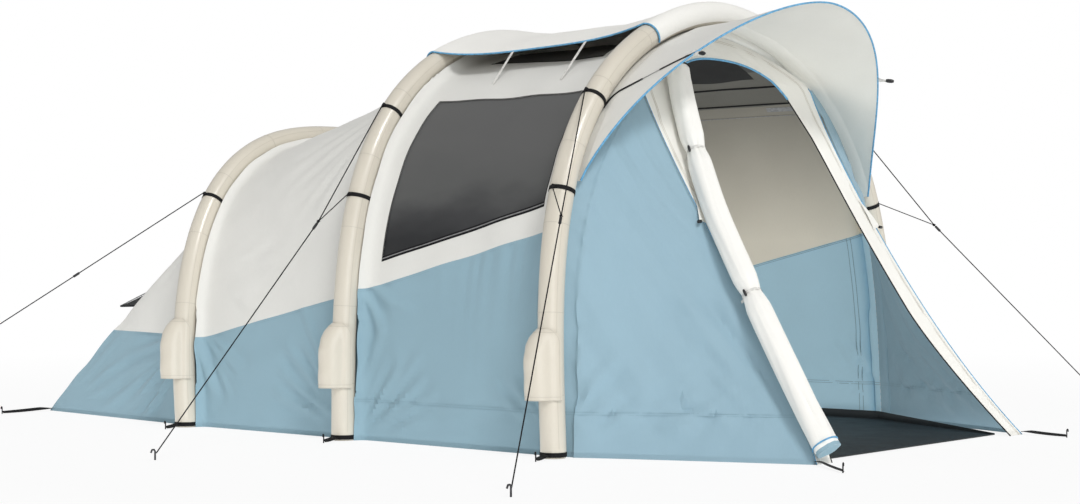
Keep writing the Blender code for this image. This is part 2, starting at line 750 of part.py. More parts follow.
def make_middle_fly():
    """Fly between the middle and rear beams."""
    seam = (MIDDLE.share_at(SEAM_MIDDLE_Z, FLY_INSET), REAR.share_at(SEAM_REAR_Z, FLY_INSET))
    rows = [(0.0, 0.0)] + between(MIDDLE, REAR, (0.0, 0.0), seam, 2) + between(MIDDLE, REAR, seam, RIDGE, 9)
    whole = both_halves(rows)
    columns = np.linspace(0, 1, 6)
    grid = bay_grid(MIDDLE, REAR, whole, columns)
    last = len(whole) - 1
    lower = [(i, j) for i in (0, 1, last - 1, last - 2) for j in range(len(columns) - 1)]
    fabrics = [material("fly_grey", GREY_FABRIC), material("fly_blue", BLUE_FABRIC)]
    inside = (0, (MIDDLE_Y + REAR_Y) / 2, SEAM_MIDDLE_Z)
    add_shell("middle_fly", grid, SKIN, fabrics, inside, (), lower, (0, -1))


def rear_base(share, ridge):
    """Point on the rear hem for a share of the rear beam's length."""
    foot = REAR.points(0.0, FLY_INSET)
    start = np.array([foot[0], REAR_Y + BEAM_RADIUS / 2, 0.0])
    corner = np.array([-REAR_CORNER_X, BACK_Y, 0.0])
    near = min(share, 1 - share)
    side = -1 if share <= 0.5 else 1
    if near <= ridge:
        point = start + (corner - start) * near / ridge
    else:
        point = corner * [1 - (near - ridge) / (0.5 - ridge), 1, 1]
    return np.array([point[0] * -side, point[1], point[2]])


def rear_rows():
    seam = REAR.share_at(SEAM_REAR_Z, FLY_INSET)
    ridge = REAR.share_at(CREASE_Z, FLY_INSET)
    half = [0.0, seam * 0.5, seam, *REAR.spread(seam, ridge, 3), *REAR.spread(ridge, 0.5, 6)]
    return half + [1 - share for share in reversed(half[:-1])], seam, ridge


def rear_wall_point(share, drop, ridge):
    """Point of the rear wall, drop being 0 at the beam and 1 at the hem."""
    top = REAR.points(share, FLY_INSET) + [0, JOIN_GAP, 0]
    base = rear_base(share, ridge)
    crease = math.exp(-((min(share, 1 - share) - ridge) / CREASE_WIDTH) ** 2)
    sag = REAR_WALL_SAG * (1 - crease) - CREASE_RISE * crease
    sag *= 4 * drop * (1 - drop) * min(1, top[2] / CREASE_Z)
    pull = unit(np.array([0, REAR_Y, 0]) - top * [0.6, 0.4, 0.2] - base * [0.4, 0.6, 0.1])
    return top * (1 - drop) + base * drop + pull * sag


def make_rear_fly():
    """Sloping rear wall, from the rear beam down to the hem and its two corners."""
    shares, _, ridge = rear_rows()
    grid = []
    for share in shares:
        top = REAR.points(share, FLY_INSET)[2]
        mark = 1 - SEAM_BACK_Z / top if top > SEAM_BACK_Z * 1.02 else 0.02
        mark = max(mark, 0.02)
        drops = [0, mark * 0.33, mark * 0.67, mark, mark + (1 - mark) * 0.5, 1]
        grid.append([rear_wall_point(share, drop, ridge) for drop in drops])
    grid = np.array(grid)
    count = len(shares)
    lower = {(i, j) for i in range(count - 1) for j in (3, 4)}
    lower |= {(i, j) for i in (0, 1, count - 2, count - 3) for j in range(3)}
    fabrics = [material("fly_grey", GREY_FABRIC), material("fly_blue", BLUE_FABRIC)]
    add_shell("rear_fly", grid, SKIN, fabrics, (0, REAR_Y, SEAM_BACK_Z), (), lower, (0,))


def tip():
    """Share and height where the frame's upright edge runs into the roof."""
    half = FRONT.SAMPLES // 2 + 1
    x = (FRONT.x + UNDER_FLY * FRONT.in_x)[:half]
    top = int(np.argmin(x))
    share = float(np.interp(-NECK_X, x[top:], FRONT.share[top:half]))
    return share, float(FRONT.points(share, UNDER_FLY)[2])


TIP_SHARE, TIP_Z = tip()
TIP_Y = float(FRONT.y_at(TIP_Z))


def face_y(z):
    """How far forward the leaning front lies at a height."""
    z = np.asarray(z, float)
    below = np.maximum(0, 1 - z / TIP_Z) ** FRONT_BOW
    reach = FRONT_REACH + TIP_Y - FRONT_Y
    return np.where(z < TIP_Z, TIP_Y - reach * below, TIP_Y + TOP_LEAN * (z - TIP_Z))


def frame_edge_x(z):
    """Half width of the door frame's outer edge at a height below the tip."""
    return NECK_X + (FRONT_CORNER_X - NECK_X) * np.maximum(0, 1 - np.asarray(z) / NECK_Z) ** FRAME_FLARE


def door_edge(turn):
    """Point on the doorway's upper edge, turn being 0 at the waist and 90 at the top."""
    x = DOOR_WAIST_X * abs(math.cos(math.radians(turn))) ** (2 / DOOR_POWERS[0])
    rise = abs(math.sin(math.radians(turn))) ** (2 / DOOR_POWERS[1])
    return x, DOOR_WAIST_Z + (DOOR_HEIGHT - DOOR_WAIST_Z) * rise


def door_x(z):
    """Half width of the doorway at a height."""
    if z < DOOR_WAIST_Z:
        return DOOR_WAIST_X + (DOOR_BASE_X - DOOR_WAIST_X) * (1 - z / DOOR_WAIST_Z) ** DOOR_FLARE
    rise = (z - DOOR_WAIST_Z) / (DOOR_HEIGHT - DOOR_WAIST_Z)
    return DOOR_WAIST_X * max(0, 1 - rise ** DOOR_POWERS[1]) ** (1 / DOOR_POWERS[0])


def roof_line_point(share):
    """Point where the leaning front meets the underside of the roof."""
    point = FRONT.points(share, UNDER_FLY)
    run = 0.0
    for _ in range(12):
        run = max(0.0, float(face_y(point[2])) - FRONT_Y) / FRONT_BAY
        grid = bay_grid(FRONT, MIDDLE, [(share, share)], [run], UNDER_FLY + GAP)
        point = grid[0, 0]
    return point


def frame_outer_line():
    """Outer edge of the left half of the door frame, from the ground to the ridge."""
    sides = [[-frame_edge_x(z), float(face_y(z)), z] for z in np.linspace(0, TIP_Z - TIP_MARGIN, 12)]
    top = [roof_line_point(share) for share in np.linspace(TIP_SHARE, 0.5, 10)[1:]]
    return np.array(sides + top)


def resampled(line, shares):
    """Points at shares of a line's length."""
    length = np.r_[0, np.cumsum(np.linalg.norm(np.diff(line, axis=0), axis=1))]
    wanted = np.asarray(shares) * length[-1]
    return np.stack([np.interp(wanted, length, line[:, k]) for k in range(3)], -1)


def make_door_frame():
    """White band round the D-shaped doorway."""
    heights = [*np.linspace(0, DOOR_WAIST_Z, 5), 0.80, 0.98, 1.15, 1.30, FRAME_SPLIT_Z]
    inner = [(-door_x(z), z) for z in heights]
    outer = [(-frame_edge_x(z), z) for z in heights]
    for turn in (37, 46, 55, 64, 73, 82, 90):
        x, z = door_edge(turn)
        inner.append((-x, z))
    line = frame_outer_line()
    ends = resampled(line[line[:, 2] > FRAME_SPLIT_Z], np.linspace(0, 1, 8)[1:])
    ends[0] = line[line[:, 2] > FRAME_SPLIT_Z][1]
    outer += [(x, z) for x, _, z in ends]
    inner, outer = np.array(inner), np.array(outer)
    half = np.stack([outer, outer * 0.67 + inner * 0.33, outer * 0.33 + inner * 0.67, inner], 1)
    half = np.stack([half[..., 0], face_y(half[..., 1]), half[..., 1]], -1)
    other = half[::-1][1:] * [-1, 1, 1]
    grid = np.concatenate([half, other])
    add_shell("door_frame", grid, SKIN, [material("frame_white", WHITE_FABRIC)], (0, MIDDLE_Y, DOOR_WAIST_Z))


def front_line(shares, inset):
    """Points of the front fly's edge, which runs straight between its rows."""
    rows = np.array(both_halves(front_bay_rows()[0]))[:, 0]
    corners = FRONT.points(rows, inset)
    return np.stack([np.interp(shares, rows, corners[:, k]) for k in range(3)], -1)


def make_front_sides():
    """Blue panels between the front beam and the door frame, one each side."""
    rows = np.array(front_bay_rows()[0])[:, 0]
    rows = rows[rows < TIP_SHARE - TIP_MARGIN / FRONT.length]
    shares = np.sort(np.r_[rows, (rows[1:] + rows[:-1]) / 2])
    root = front_line(shares, UNDER_FLY) - [0, JOIN_GAP, 0]
    clearance = np.array([-1.0, 0.7, 0.0]) * SKIN
    edge = np.array([[-frame_edge_x(z), float(face_y(z)), z] for z in root[:, 2]]) + clearance
    across = np.linspace(0, 1, 5)[None, :, None]
    left = root[:, None] * (1 - across) + edge[:, None] * across
    for name, side in SIDES:
        grid = left * [-side, 1, 1]
        inside = (0, FRONT_Y, DOOR_WAIST_Z)
        add_shell(f"front_side_{name}", grid, SKIN, [material("fly_blue", BLUE_FABRIC)], inside)


def make_visor():
    """Hood that carries the roof forward of the front beam."""
    low = FRONT.share_at(VISOR_LOW_Z, FLY_INSET)
    rows = np.array(both_halves(front_bay_rows()[0]))[:, 0]
    rows = np.r_[low, rows[(rows > low + TIP_MARGIN / 2) & (rows < 1 - low - TIP_MARGIN / 2)], 1 - low]
    shares = np.sort(np.r_[rows, (rows[1:] + rows[:-1]) / 2])
    root = front_line(shares, FLY_INSET)
    inward = front_line(shares, FLY_INSET + VISOR_RISE) - root
    reach = VISOR_REACH * np.maximum(0.02, 1 - (root[:, 0] / VISOR_HALF_WIDTH) ** 2)
    grid = []
    for start, drop, length in zip(root, inward, reach):
        row = []
        for out in (0.0, 0.25, 0.5, 0.75, 1.0):
            part = length / VISOR_REACH * out
            row.append(start - drop * [1, 0, 1] * part ** 1.3 - [0, JOIN_GAP + length * out, 0])
        grid.append(row)
    grid = np.array(grid)
    finishes = [material("fly_grey", GREY_FABRIC), material("webbing_black", BLACK_WEBBING)]
    visor = add_shell("visor", grid, SKIN, finishes, (0, FRONT_Y, 1.0), (), (), (0,))
    for name, side in SIDES:
        add_visor_tab(visor, f"visor_tab_{name}", grid, side)


def add_visor_tab(visor, name, grid, side):
    """A loop with a toggle, sewn to the visor's free edge."""
    edge = grid[:, -1]
    place = int(np.argmin(np.abs(edge[:, 0] - VISOR_TAB_X * side)))
    root = edge[place]
    run = unit(edge[place + 1] - edge[place - 1])
    out = unit(root - grid[place, -2])
    out = unit(out - run * out.dot(run))
    up = np.cross(run, out)
    length, width, thick = VISOR_TAB
    toggle, toggle_width, toggle_thick = VISOR_TOGGLE
    sections = [
        (-0.012, width, thick), (length, width * 0.6, thick), (length + 0.001, toggle_width, toggle_thick),
        (length + toggle, toggle_width, toggle_thick),
    ]
    loops = []
    for distance, across, high in sections:
        for a, b in ((-1, -1), (1, -1), (1, 1), (-1, 1)):
            loops.append(root + out * distance + run * a * across / 2 + up * b * high / 2)
    faces = [[0, 1, 2, 3]] + chain_faces(0, len(sections))
    tone = [0] * 5 + [1] * (len(faces) - 5)
    unite(visor, add_mesh(name, loops, faces, list(visor.data.materials), tone))


def cover_share(run):
    """Share of the beams where the vent cover's left edge lies, for a share of the bay."""
    front = FRONT.share[int(np.argmin(np.abs(FRONT.x + COVER_FRONT_X)))]
    middle = MIDDLE.share[int(np.argmin(np.abs(MIDDLE.x + COVER_MIDDLE_X)))]
    return front * (1 - run) + middle * run + COVER_WAIST * 4 * run * (1 - run)


def wrapped(arch, share, turn):
    """Point of the vent cover round a beam, turn being 0 at the top of the tube."""
    middle, along, out = arch.frame(share)
    side = np.cross(along, out)
    side *= math.copysign(1.0, side[1])
    return middle + COVER_RADIUS * (math.cos(turn) * out + math.sin(turn) * side)


def cover_point(part, run):
    """Point of the vent cover between the beams, at a share across and along the bay."""
    edge = cover_share(run)
    share = edge + (1 - 2 * edge) * part
    first, second = wrapped(FRONT, share, 0), wrapped(MIDDLE, share, 0)
    sag = COVER_SAG * (1 - abs(2 * run - 1) ** COVER_SAG_POWER)
    return first * (1 - run) + second * run - [0, 0, sag]


def make_vent_cover():
    """White cover over the two tall beams above the roof vent, held down by straps."""
    ahead, behind = (np.radians(np.linspace(wrap, 0, 6)) for wrap in COVER_WRAPS)
    runs = np.linspace(0, 1, 6)
    grid = []
    for part in np.linspace(0, 1, 13):
        ends = [cover_share(run) + (1 - 2 * cover_share(run)) * part for run in (0, 1)]
        column = [wrapped(FRONT, ends[0], -turn) for turn in ahead]
        column += [cover_point(part, run) for run in runs[1:-1]]
        column += [wrapped(MIDDLE, ends[1], turn) for turn in behind[::-1]]
        grid.append(column)
    inside = (0, (FRONT_Y + MIDDLE_Y) / 2, 0.5)
    finish = material("cover_white", WHITE_FABRIC)
    cover = add_shell("roof_vent_cover", np.array(grid), SKIN, [finish], inside)
    for name, side in SIDES:
        for place, run in enumerate(COVER_STRAP_RUNS):
            unite(cover, cover_strap(f"cover_strap_{name}_{place}", run, side, finish))


def cover_strap(name, run, side, finish):
    """A strap from the cover's edge down to just above the fly."""
    edge = cover_point(0.0, run) * [-side, 1, 1]
    back = cover_point(0.02, run) * [-side, 1, 1]
    rows = [(FRONT.share_at(COVER_STRAP_FOOT[0]), MIDDLE.share_at(COVER_STRAP_FOOT[1]))]
    foot = bay_grid(FRONT, MIDDLE, rows, [run], FLY_INSET - SKIN * 2)[0, 0]
    foot = foot * [-side, 1, 1] + [0, COVER_STRAP_LEAN, 0]
    fall = unit(foot - edge)
    across = np.array([0.0, COVER_STRAP_WIDTH / 2, 0.0])
    thick = unit(np.cross(fall, across)) * SKIN * 0.4
    inner = edge * 0.5 + back * 0.5 - [0, 0, SKIN * 0.5]
    start = edge - [0, 0, SKIN * 0.5]
    loops = []
    for middle in (inner, start, foot):
        for a, b in ((-1, -1), (1, -1), (1, 1), (-1, 1)):
            loops.append(middle + across * a + thick * b)
    return add_mesh(name, loops, [[0, 1, 2, 3]] + chain_faces(0, 3), [finish])


def hood_hinge():
    """Middle of the rear hood's hinge line, just off the rear wall."""
    _, _, ridge = rear_rows()
    drops = np.linspace(0, 1, 201)
    wall = np.array([rear_wall_point(0.5, drop, ridge) for drop in drops])
    y = float(np.interp(-HOOD_SEAM_Z, -wall[:, 2], wall[:, 1]))
    return np.array([0.0, y + HOOD_STANDOFF, HOOD_SEAM_Z])


def make_rear_hood():
    """Dark vent hood with a spreader rod in its lower hem, hinged along its top."""
    hinge = hood_hinge()
    slope = math.radians(HOOD_SLOPE)
    out = np.array([0.0, math.cos(slope), -math.sin(slope)])
    up = np.array([0.0, math.sin(slope), math.cos(slope)])
    half = HOOD_SHEET / 2
    rod = HOOD_LENGTH - HOOD_ROD_RADIUS
    profile = [hinge + up * half, hinge + out * (rod - HOOD_ROD_RADIUS * 0.9) + up * half]
    for turn in np.radians([150, 100, 50, 0, -50, -100, -150]):
        round_rod = out * math.cos(turn) + up * math.sin(turn)
        profile.append(hinge + out * rod + round_rod * HOOD_ROD_RADIUS)
    profile += [hinge + out * (rod - HOOD_ROD_RADIUS * 0.9) - up * half, hinge - up * half]
    profile = np.array(profile)
    count = len(profile)
    points = np.concatenate([profile + [x, 0, 0] for x in (-HOOD_HALF_WIDTH, HOOD_HALF_WIDTH)])
    faces = [[k, (k + 1) % count, count + (k + 1) % count, count + k] for k in range(count)]
    faces += [list(range(count)), list(range(count, 2 * count))]
    add_mesh("rear_vent_hood", points, faces, [material("vent_mesh", DARK_MESH)], origin=hinge)


def make_door_roll():
    """Door panel rolled up over the left jamb and tied at two heights."""
    places, levels = zip(ROLL_BOTTOM, ROLL_MIDDLE, ROLL_TOP)
    heights = np.linspace(levels[0], levels[-1], 17)
    near = [tie + step for tie in ROLL_TIES for step in (-0.05, -0.02, 0.0, 0.02, 0.05)]
    heights = np.array(sorted([z for z in heights if min(abs(z - k) for k in near) > 0.02] + near))
    pinch = np.min([np.abs(heights - tie) for tie in ROLL_TIES], axis=0)
    radii = ROLL_RADIUS * (ROLL_PINCH + (1 - ROLL_PINCH) * np.minimum(1, pinch / 0.06) ** 0.6)
    path = np.stack([-np.interp(heights, levels, places), face_y(heights), heights], -1)
    along = np.gradient(path, axis=0)
    along /= np.linalg.norm(along, axis=1, keepdims=True)
    forward = np.cross(along, [1.0, 0.0, 0.0])
    forward *= np.sign(-forward[:, 1:2])
    forward /= np.linalg.norm(forward, axis=1, keepdims=True)
    side = np.cross(along, forward)
    middle = path + forward * (ROLL_RADIUS + ROLL_STANDOFF)
    count = 12
    loops = [ring_loop(m, s, f, [r] * count) for m, s, f, r in zip(middle, side, forward, radii)]
    faces = tube_faces(count, len(loops))
    finish = material("frame_white", WHITE_FABRIC)
    roll = add_mesh("door_roll", np.concatenate(loops), faces, [finish])
    for number, tie in enumerate(ROLL_TIES):
        place = int(np.argmin(np.abs(heights - tie)))
        seat = path[place] + forward[place] * ROLL_TIE_GAP
        loops = [
            ring_loop(end, along[place], side[place], [ROLL_TIE_RADIUS] * count)
            for end in (seat, middle[place])
        ]
        unite(roll, add_mesh(f"roll_tie_{number}", np.concatenate(loops), tube_faces(count, 2), [finish]))


def make_groundsheet():
    """Tray floor inside the fly's hem, with a low lip at the doorway."""
    inset = UNDER_FLY + SKIN + TRAY_CLEARANCE
    front = FRONT_Y - FRONT_REACH + TRAY_FRONT_SETBACK
    half = [
        (DOOR_BASE_X - TRAY_CLEARANCE, front, TRAY_LIP),
        (FRONT_HALF_WIDTH - inset - TRAY_CLEARANCE, FRONT_Y, TRAY_HEIGHT),
        (MIDDLE_HALF_WIDTH - inset, MIDDLE_Y, TRAY_HEIGHT),
        (REAR_HALF_WIDTH - inset, REAR_Y, TRAY_HEIGHT),
        (REAR_CORNER_X - TRAY_CLEARANCE * 2, BACK_Y - TRAY_CLEARANCE * 3, TRAY_HEIGHT),
    ]
    outline = half + [(-x, y, z) for x, y, z in reversed(half)]
    centre = np.array([0.0, (front + BACK_Y) / 2])
    rings = []
    for x, y, height in outline:
        outer = np.array([x, y])
        towards = unit(centre - outer)
        inner = outer + towards * TRAY_SHEET * 1.5
        rings.append([
            [*outer, 0.0], [*outer, height], [*inner, height], [*inner, TRAY_SHEET],
        ])
    rings = np.array(rings)
    count = len(outline)
    points = rings.reshape(-1, 3)
    faces = []
    for k in range(count):
        n = (k + 1) % count
        for level in range(3):
            faces.append([4 * k + level, 4 * n + level, 4 * n + level + 1, 4 * k + level + 1])
    faces.append([4 * k for k in range(count)])
    faces.append([4 * k + 3 for k in range(count)])
    add_mesh("groundsheet", points, faces, [material("floor_navy", NAVY_SHEET)])


def add_ring(name, arch, share, side):
    """Webbing ring round a beam, with a raised lug on its outer side."""
    middle, along, out = arch.frame(share if side < 0 else 1 - share)
    radii = [RING_OUTER + (RING_LUG if k in (0, 1) else 0) for k in range(RING_SIDES)]
    inner = RING_INNER / math.cos(math.pi / RING_SIDES)
    points, faces = sleeve_mesh(middle, along, out, radii, inner, RING_WIDTH)
    return add_mesh(name, points, faces, [material("webbing_black", BLACK_WEBBING)])


def ring_tip(arch, share, side):
    """Middle of the lug's outer face, and the outward direction."""
    middle, _, out = arch.frame(share if side < 0 else 1 - share)
    return middle + out * (RING_OUTER + RING_LUG) * math.cos(math.pi / RING_SIDES), out


def ring_places():
    """Every guy ring: its beam, name and share of the left side."""
    levels = ("upper", "lower")
    return [
        (name, level, share) for name, arch in BEAMS.items() for level, share in zip(levels, arch.rings)
    ]


def make_guy_rings():
    """Webbing rings that the guy lines are tied to."""
    for beam, level, share in ring_places():
        for name, side in SIDES:
            add_ring(f"{beam}_{level}_ring_{name}", BEAMS[beam], share, side)


def make_foot_straps():
    """Webbing ring round each foot, with a tab that a ground stake holds."""
    turn = math.radians(FOOT_TAB_TURN)
    count = RING_SIDES
    finish = material("webbing_black", BLACK_WEBBING)
    for beam, arch in BEAMS.items():
        for name, side in SIDES:
            direction = np.array([math.cos(turn) * side, -math.sin(turn), 0.0])
            middle = mirrored([arch.points(1.0)[0], arch.y, FOOT_RING_Z], side)
            inner = RING_INNER / math.cos(math.pi / count)
            outer = [RING_OUTER + FOOT_RING_EXTRA] * count
            points, faces = sleeve_mesh(middle, [0, 0, 1], direction, outer, inner, FOOT_RING_WIDTH)
            faces.remove([0, 1, 2 * count + 1, 2 * count])
            loops, number = strap_loops(middle + direction * BEAM_RADIUS, direction, FOOT_TAB, 0.006)
            first = len(points)
            root = [0, 1, 2 * count + 1, 2 * count]
            faces += [
                [root[a], root[(a + 1) % 4], first + (a + 1) % 4, first + a] for a in range(4)
            ]
            faces += chain_faces(first, number)
            add_mesh(f"{beam}_foot_strap_{name}", np.concatenate([points, loops]), faces, [finish])


def make_corner_straps():
    """Webbing straps that stretch the hem's four corners to ground stakes."""
    finish = material("webbing_black", BLACK_WEBBING)
    front = (FRONT_CORNER_X, FRONT_Y - FRONT_REACH - GAP, 0.0)
    rear = (REAR_CORNER_X + HEM_CLEARANCE, BACK_Y - STRAP_WIDTH, 0.0)
    for name, side in SIDES:
        run = np.array([CORNER_STRAP_OUT[name], -CORNER_STRAP, 0.0])
        lean = abs(run[0]) / np.linalg.norm(run)
        length = (CORNER_STRAP - STAKE_WIDTH / 2 * lean) / math.sqrt(1 - lean ** 2)
        half = STRAP_WIDTH / 2
        narrow = half * (1 - lean)
        runs = (
            ("front", front, run, length, narrow),
            ("rear", rear, (1, 0, 0), REAR_CORNER_STRAP, half),
        )
        for end, corner, direction, reach, width in runs:
            start = mirrored(corner, side)
            ahead = unit(mirrored(direction, side))
            across = np.array([-ahead[1], ahead[0], 0.0]) * width
            first = [
                [*(start + across * sign)[:2], z]
                for sign, z in ((-1, STRAP_LOW), (1, STRAP_LOW), (1, STRAP_HIGH), (-1, STRAP_HIGH))
            ]
            loops, number = strap_loops(start, ahead, reach, 0.003)
            faces = [[0, 1, 2, 3]]
            faces += [[a, (a + 1) % 4, 4 + (a + 1) % 4, 4 + a] for a in range(4)]
            faces += chain_faces(4, number)
            add_mesh(f"{end}_corner_strap_{name}", np.concatenate([first, loops]), faces, [finish])


def guy_routes(name, side):
    """Straight runs of the guy lines on one side: name, tops, knot and peg."""
    front_peg = mirrored([FRONT_PEG[0], FRONT_Y + FRONT_PEG[1], 0], side)
    middle_peg = mirrored([MIDDLE_PEG[0], MIDDLE_Y + MIDDLE_PEG[1], 0], side)
    rear_peg = mirrored([REAR_PEG[0], REAR_Y + REAR_PEG[1], 0], side)
    knot = FRONT_KNOTS[name]
    front_knot = mirrored([knot[0], FRONT_Y + knot[1], knot[2]], side)
    middle_knot = mirrored([MIDDLE_KNOT[0], MIDDLE_Y + MIDDLE_KNOT[1], MIDDLE_KNOT[2]], side)
    tops = {
        (beam, level): ring_tip(BEAMS[beam], share, side)
        for beam, level, share in ring_places()
    }
    rear_top = tops["rear", "upper"][0]
    peg_top = rear_peg + [0, 0, ROPE_ON_PEG_Z]
    rear_knot = rear_top + (peg_top - rear_top) * REAR_RUNNER_SHARE
    return [
        ("front", tops["front", "upper"], tops["front", "lower"], front_knot, front_peg),
        ("middle", tops["middle", "upper"], tops["middle", "lower"], middle_knot, middle_peg),
        ("rear", tops["rear", "upper"], None, rear_knot, rear_peg),
    ]


def leave(tip_point, out, target, radius):
    """Start of a rope that leaves a lug's face towards a point."""
    heading = unit(target - tip_point)
    slant = math.sqrt(max(0.0, 1 - float(np.dot(heading, out)) ** 2))
    return tip_point + out * (radius * slant + GAP)


def peg_end(start, peg):
    """End of a rope that stops just short of its peg."""
    hold = peg + [0, 0, ROPE_ON_PEG_Z]
    heading = unit(hold - start)
    flat = math.hypot(heading[0], heading[1])
    short = (PEG_RADIUS + GAP + GUY_RADIUS * abs(heading[2])) / flat
    return hold - heading * short


def make_guy_lines():
    """Guy lines, their lower branches, runners and pegs."""
    rope = material("rope_black", BLACK_WEBBING)
    plastic = material("runner_black", BLACK_PLASTIC)
    steel = material("peg_steel", STEEL, 0.8)
    for side_name, side in SIDES:
        for beam, (top, out), lower, knot, peg in guy_routes(side_name, side):
            start = leave(top, out, knot, GUY_RADIUS)
            end = peg_end(knot, peg)
            path = [start, start * 0.5 + knot * 0.5, knot, knot * 0.5 + end * 0.5, end]
            line = add_curve_tube(f"{beam}_guy_line_{side_name}", path, GUY_RADIUS, rope, 2)
            if lower is not None:
                line = meshed(line)
                branch_start = leave(lower[0], lower[1], knot, BRANCH_RADIUS)
                branch = add_curve_tube(
                    f"{beam}_branch_{side_name}", [branch_start, branch_start * 0.5 + knot * 0.5, knot],
                    BRANCH_RADIUS, rope, 2,
                )
                unite(line, meshed(branch))
            axis = unit(end - knot)
            middle = knot + axis * (RUNNER_BELOW_KNOT + RUNNER_LENGTH / 2)
            points, faces = sleeve_mesh(
                middle, axis, np.array([0.0, 0.0, 1.0]), [RUNNER_RADIUS] * 10, RUNNER_BORE, RUNNER_LENGTH
            )
            add_mesh(f"{beam}_guy_runner_{side_name}", points, faces, [plastic], origin=middle)
            hook = unit(np.array([peg[0], 0, 0]))
            stake = [
                peg, peg + [0, 0, PEG_HEIGHT * 0.45], peg + [0, 0, PEG_HEIGHT * 0.8],
                peg + hook * PEG_HOOK * 0.25 + [0, 0, PEG_HEIGHT * 0.97],
                peg + hook * PEG_HOOK * 0.7 + [0, 0, PEG_HEIGHT * 0.97],
                peg + hook * PEG_HOOK + [0, 0, PEG_HEIGHT * 0.7],
            ]
            add_curve_tube(f"{beam}_guy_peg_{side_name}", stake, PEG_RADIUS, steel, 2)


def main():
    clear_scene()
    make_beams()
    make_valve_caps()
    make_valve_hoods()
    make_front_fly()
    make_panels()
    make_middle_fly()
    make_rear_fly()
    make_door_frame()
    make_front_sides()
    make_visor()
    make_vent_cover()
    make_rear_hood()
    make_door_roll()
    make_groundsheet()
    make_guy_rings()
    make_foot_straps()
    make_corner_straps()
    make_guy_lines()


main()
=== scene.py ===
"""Looks of an inflatable tunnel tent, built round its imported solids.

X runs across the tent, the door looks towards -Y and +Z is up, in metres.
"""

import math

import bmesh
import bpy
import numpy as np
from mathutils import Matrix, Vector


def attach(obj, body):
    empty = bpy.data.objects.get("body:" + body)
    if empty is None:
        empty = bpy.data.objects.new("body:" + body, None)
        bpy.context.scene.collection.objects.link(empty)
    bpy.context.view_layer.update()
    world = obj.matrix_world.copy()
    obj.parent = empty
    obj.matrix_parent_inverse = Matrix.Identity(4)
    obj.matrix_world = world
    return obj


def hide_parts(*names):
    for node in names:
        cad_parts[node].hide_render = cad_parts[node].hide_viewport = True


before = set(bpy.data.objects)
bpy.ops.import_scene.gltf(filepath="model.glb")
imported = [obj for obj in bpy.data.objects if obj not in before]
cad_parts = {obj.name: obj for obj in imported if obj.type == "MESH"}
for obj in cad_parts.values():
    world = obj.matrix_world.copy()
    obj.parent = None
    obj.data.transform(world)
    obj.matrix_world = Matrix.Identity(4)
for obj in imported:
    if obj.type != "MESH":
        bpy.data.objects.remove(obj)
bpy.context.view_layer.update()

ROOT = "tent_body"
SIDES = (("left", -1), ("right", 1))

# Air beams
BEAM_RADIUS, BEAM_SIDES = 0.056, 36
FOOT_LENGTH = 0.04
BEND_SHARE = 0.55

# Lengthways places of the beams, the foot of the leaning front and the rear hem
FRONT_Y, MIDDLE_Y, REAR_Y, BACK_Y = -1.3145, -0.0265, 1.1175, 2.5645
FRONT_BAY = MIDDLE_Y - FRONT_Y
FRONT_REACH = 1.000
FRONT_CORNER_X = 0.929
REAR_CORNER_X = 1.148

# Fabric; a joint gap keeps neighbouring sheets apart on their beam
SHEET = 0.0022
FLY_INSET = 0.0595
UNDER_FLY = 0.063
FLY_SAG = 0.022
REAR_WALL_SAG = 0.020
CREASE_RISE = 0.025
CREASE_WIDTH = 0.06
SEAM_FRONT_Z, SEAM_MIDDLE_Z, SEAM_REAR_Z, SEAM_BACK_Z = 0.990, 0.685, 0.430, 0.460
CREASE_Z = 1.06
FOOT_SEAM_Z = 0.185
# Above these heights the front bay's lining is painted in shade: darker from the first, darkest from the second.
ROOF_LINING_Z, DARK_LINING_Z = 1.66, 1.795
JOINT_GAP, PANEL_DEPTH, GROUND_Z = 0.00045, 0.0040, 0.004
WINDOW_SHEET, NET_SHEET, HOOD_SHEET, PENNANT_SHEET, FLOOR_SHEET = 0.0012, 0.0010, 0.0016, 0.0014, 0.0014

# Sewing
DOOR_TRIM, FRAME_TRIM, VISOR_TRIM, COVER_TRIM, ROLL_TRIM = 0.0050, 0.0022, 0.0045, 0.0042, 0.0035
DOOR_ZIP, ROLL_ZIP = 0.0032, 0.0040
SEAM_DROP, SEAM_GAP = 0.008, 0.008
THREAD_WIDTH, THREAD_LIFT, THREAD_THICK = 0.0022, 0.0005, 0.0006
HEM_WIDTH, HEM_LIFT, HEM_THICK = 0.0025, 0.0003, 0.0007
STITCH_LENGTH, STITCH_PITCH, STITCH_RADIUS, STITCH_LIFT = 0.020, 0.034, 0.0022, 0.0014

# Leaning front and its doorway
NECK_X, NECK_Z, FRAME_FLARE = 0.738, 1.35, 4.0
FRONT_BOW, TOP_LEAN = 1.18, 0.55
DOOR_HEIGHT, DOOR_BASE_X, DOOR_WAIST_X, DOOR_WAIST_Z = 1.803, 0.810, 0.585, 0.60
DOOR_POWERS = (2.4, 7.0)
DOOR_FLARE = 1.5
TIP_MARGIN = 0.03
FRAME_SPLIT_Z = 1.45

# Rolled door
ROLL_RADIUS, ROLL_SIDES = 0.056, 48
ROLL_STANDOFF = 0.010
ROLL_TIES = (0.655, 1.290)
ROLL_BOTTOM, ROLL_MIDDLE, ROLL_TOP = (0.898, 0.045), (0.727, 1.000), (0.508, 1.690)
ROLL_PINCH, ROLL_FOOT_Z = 0.72, 0.018

# Visor
VISOR_REACH, VISOR_HALF_WIDTH, VISOR_RISE, VISOR_LOW_Z = 0.590, 1.250, 0.070, 1.175
VISOR_TAB_X, VISOR_LINING_OVER = 0.780, 0.03

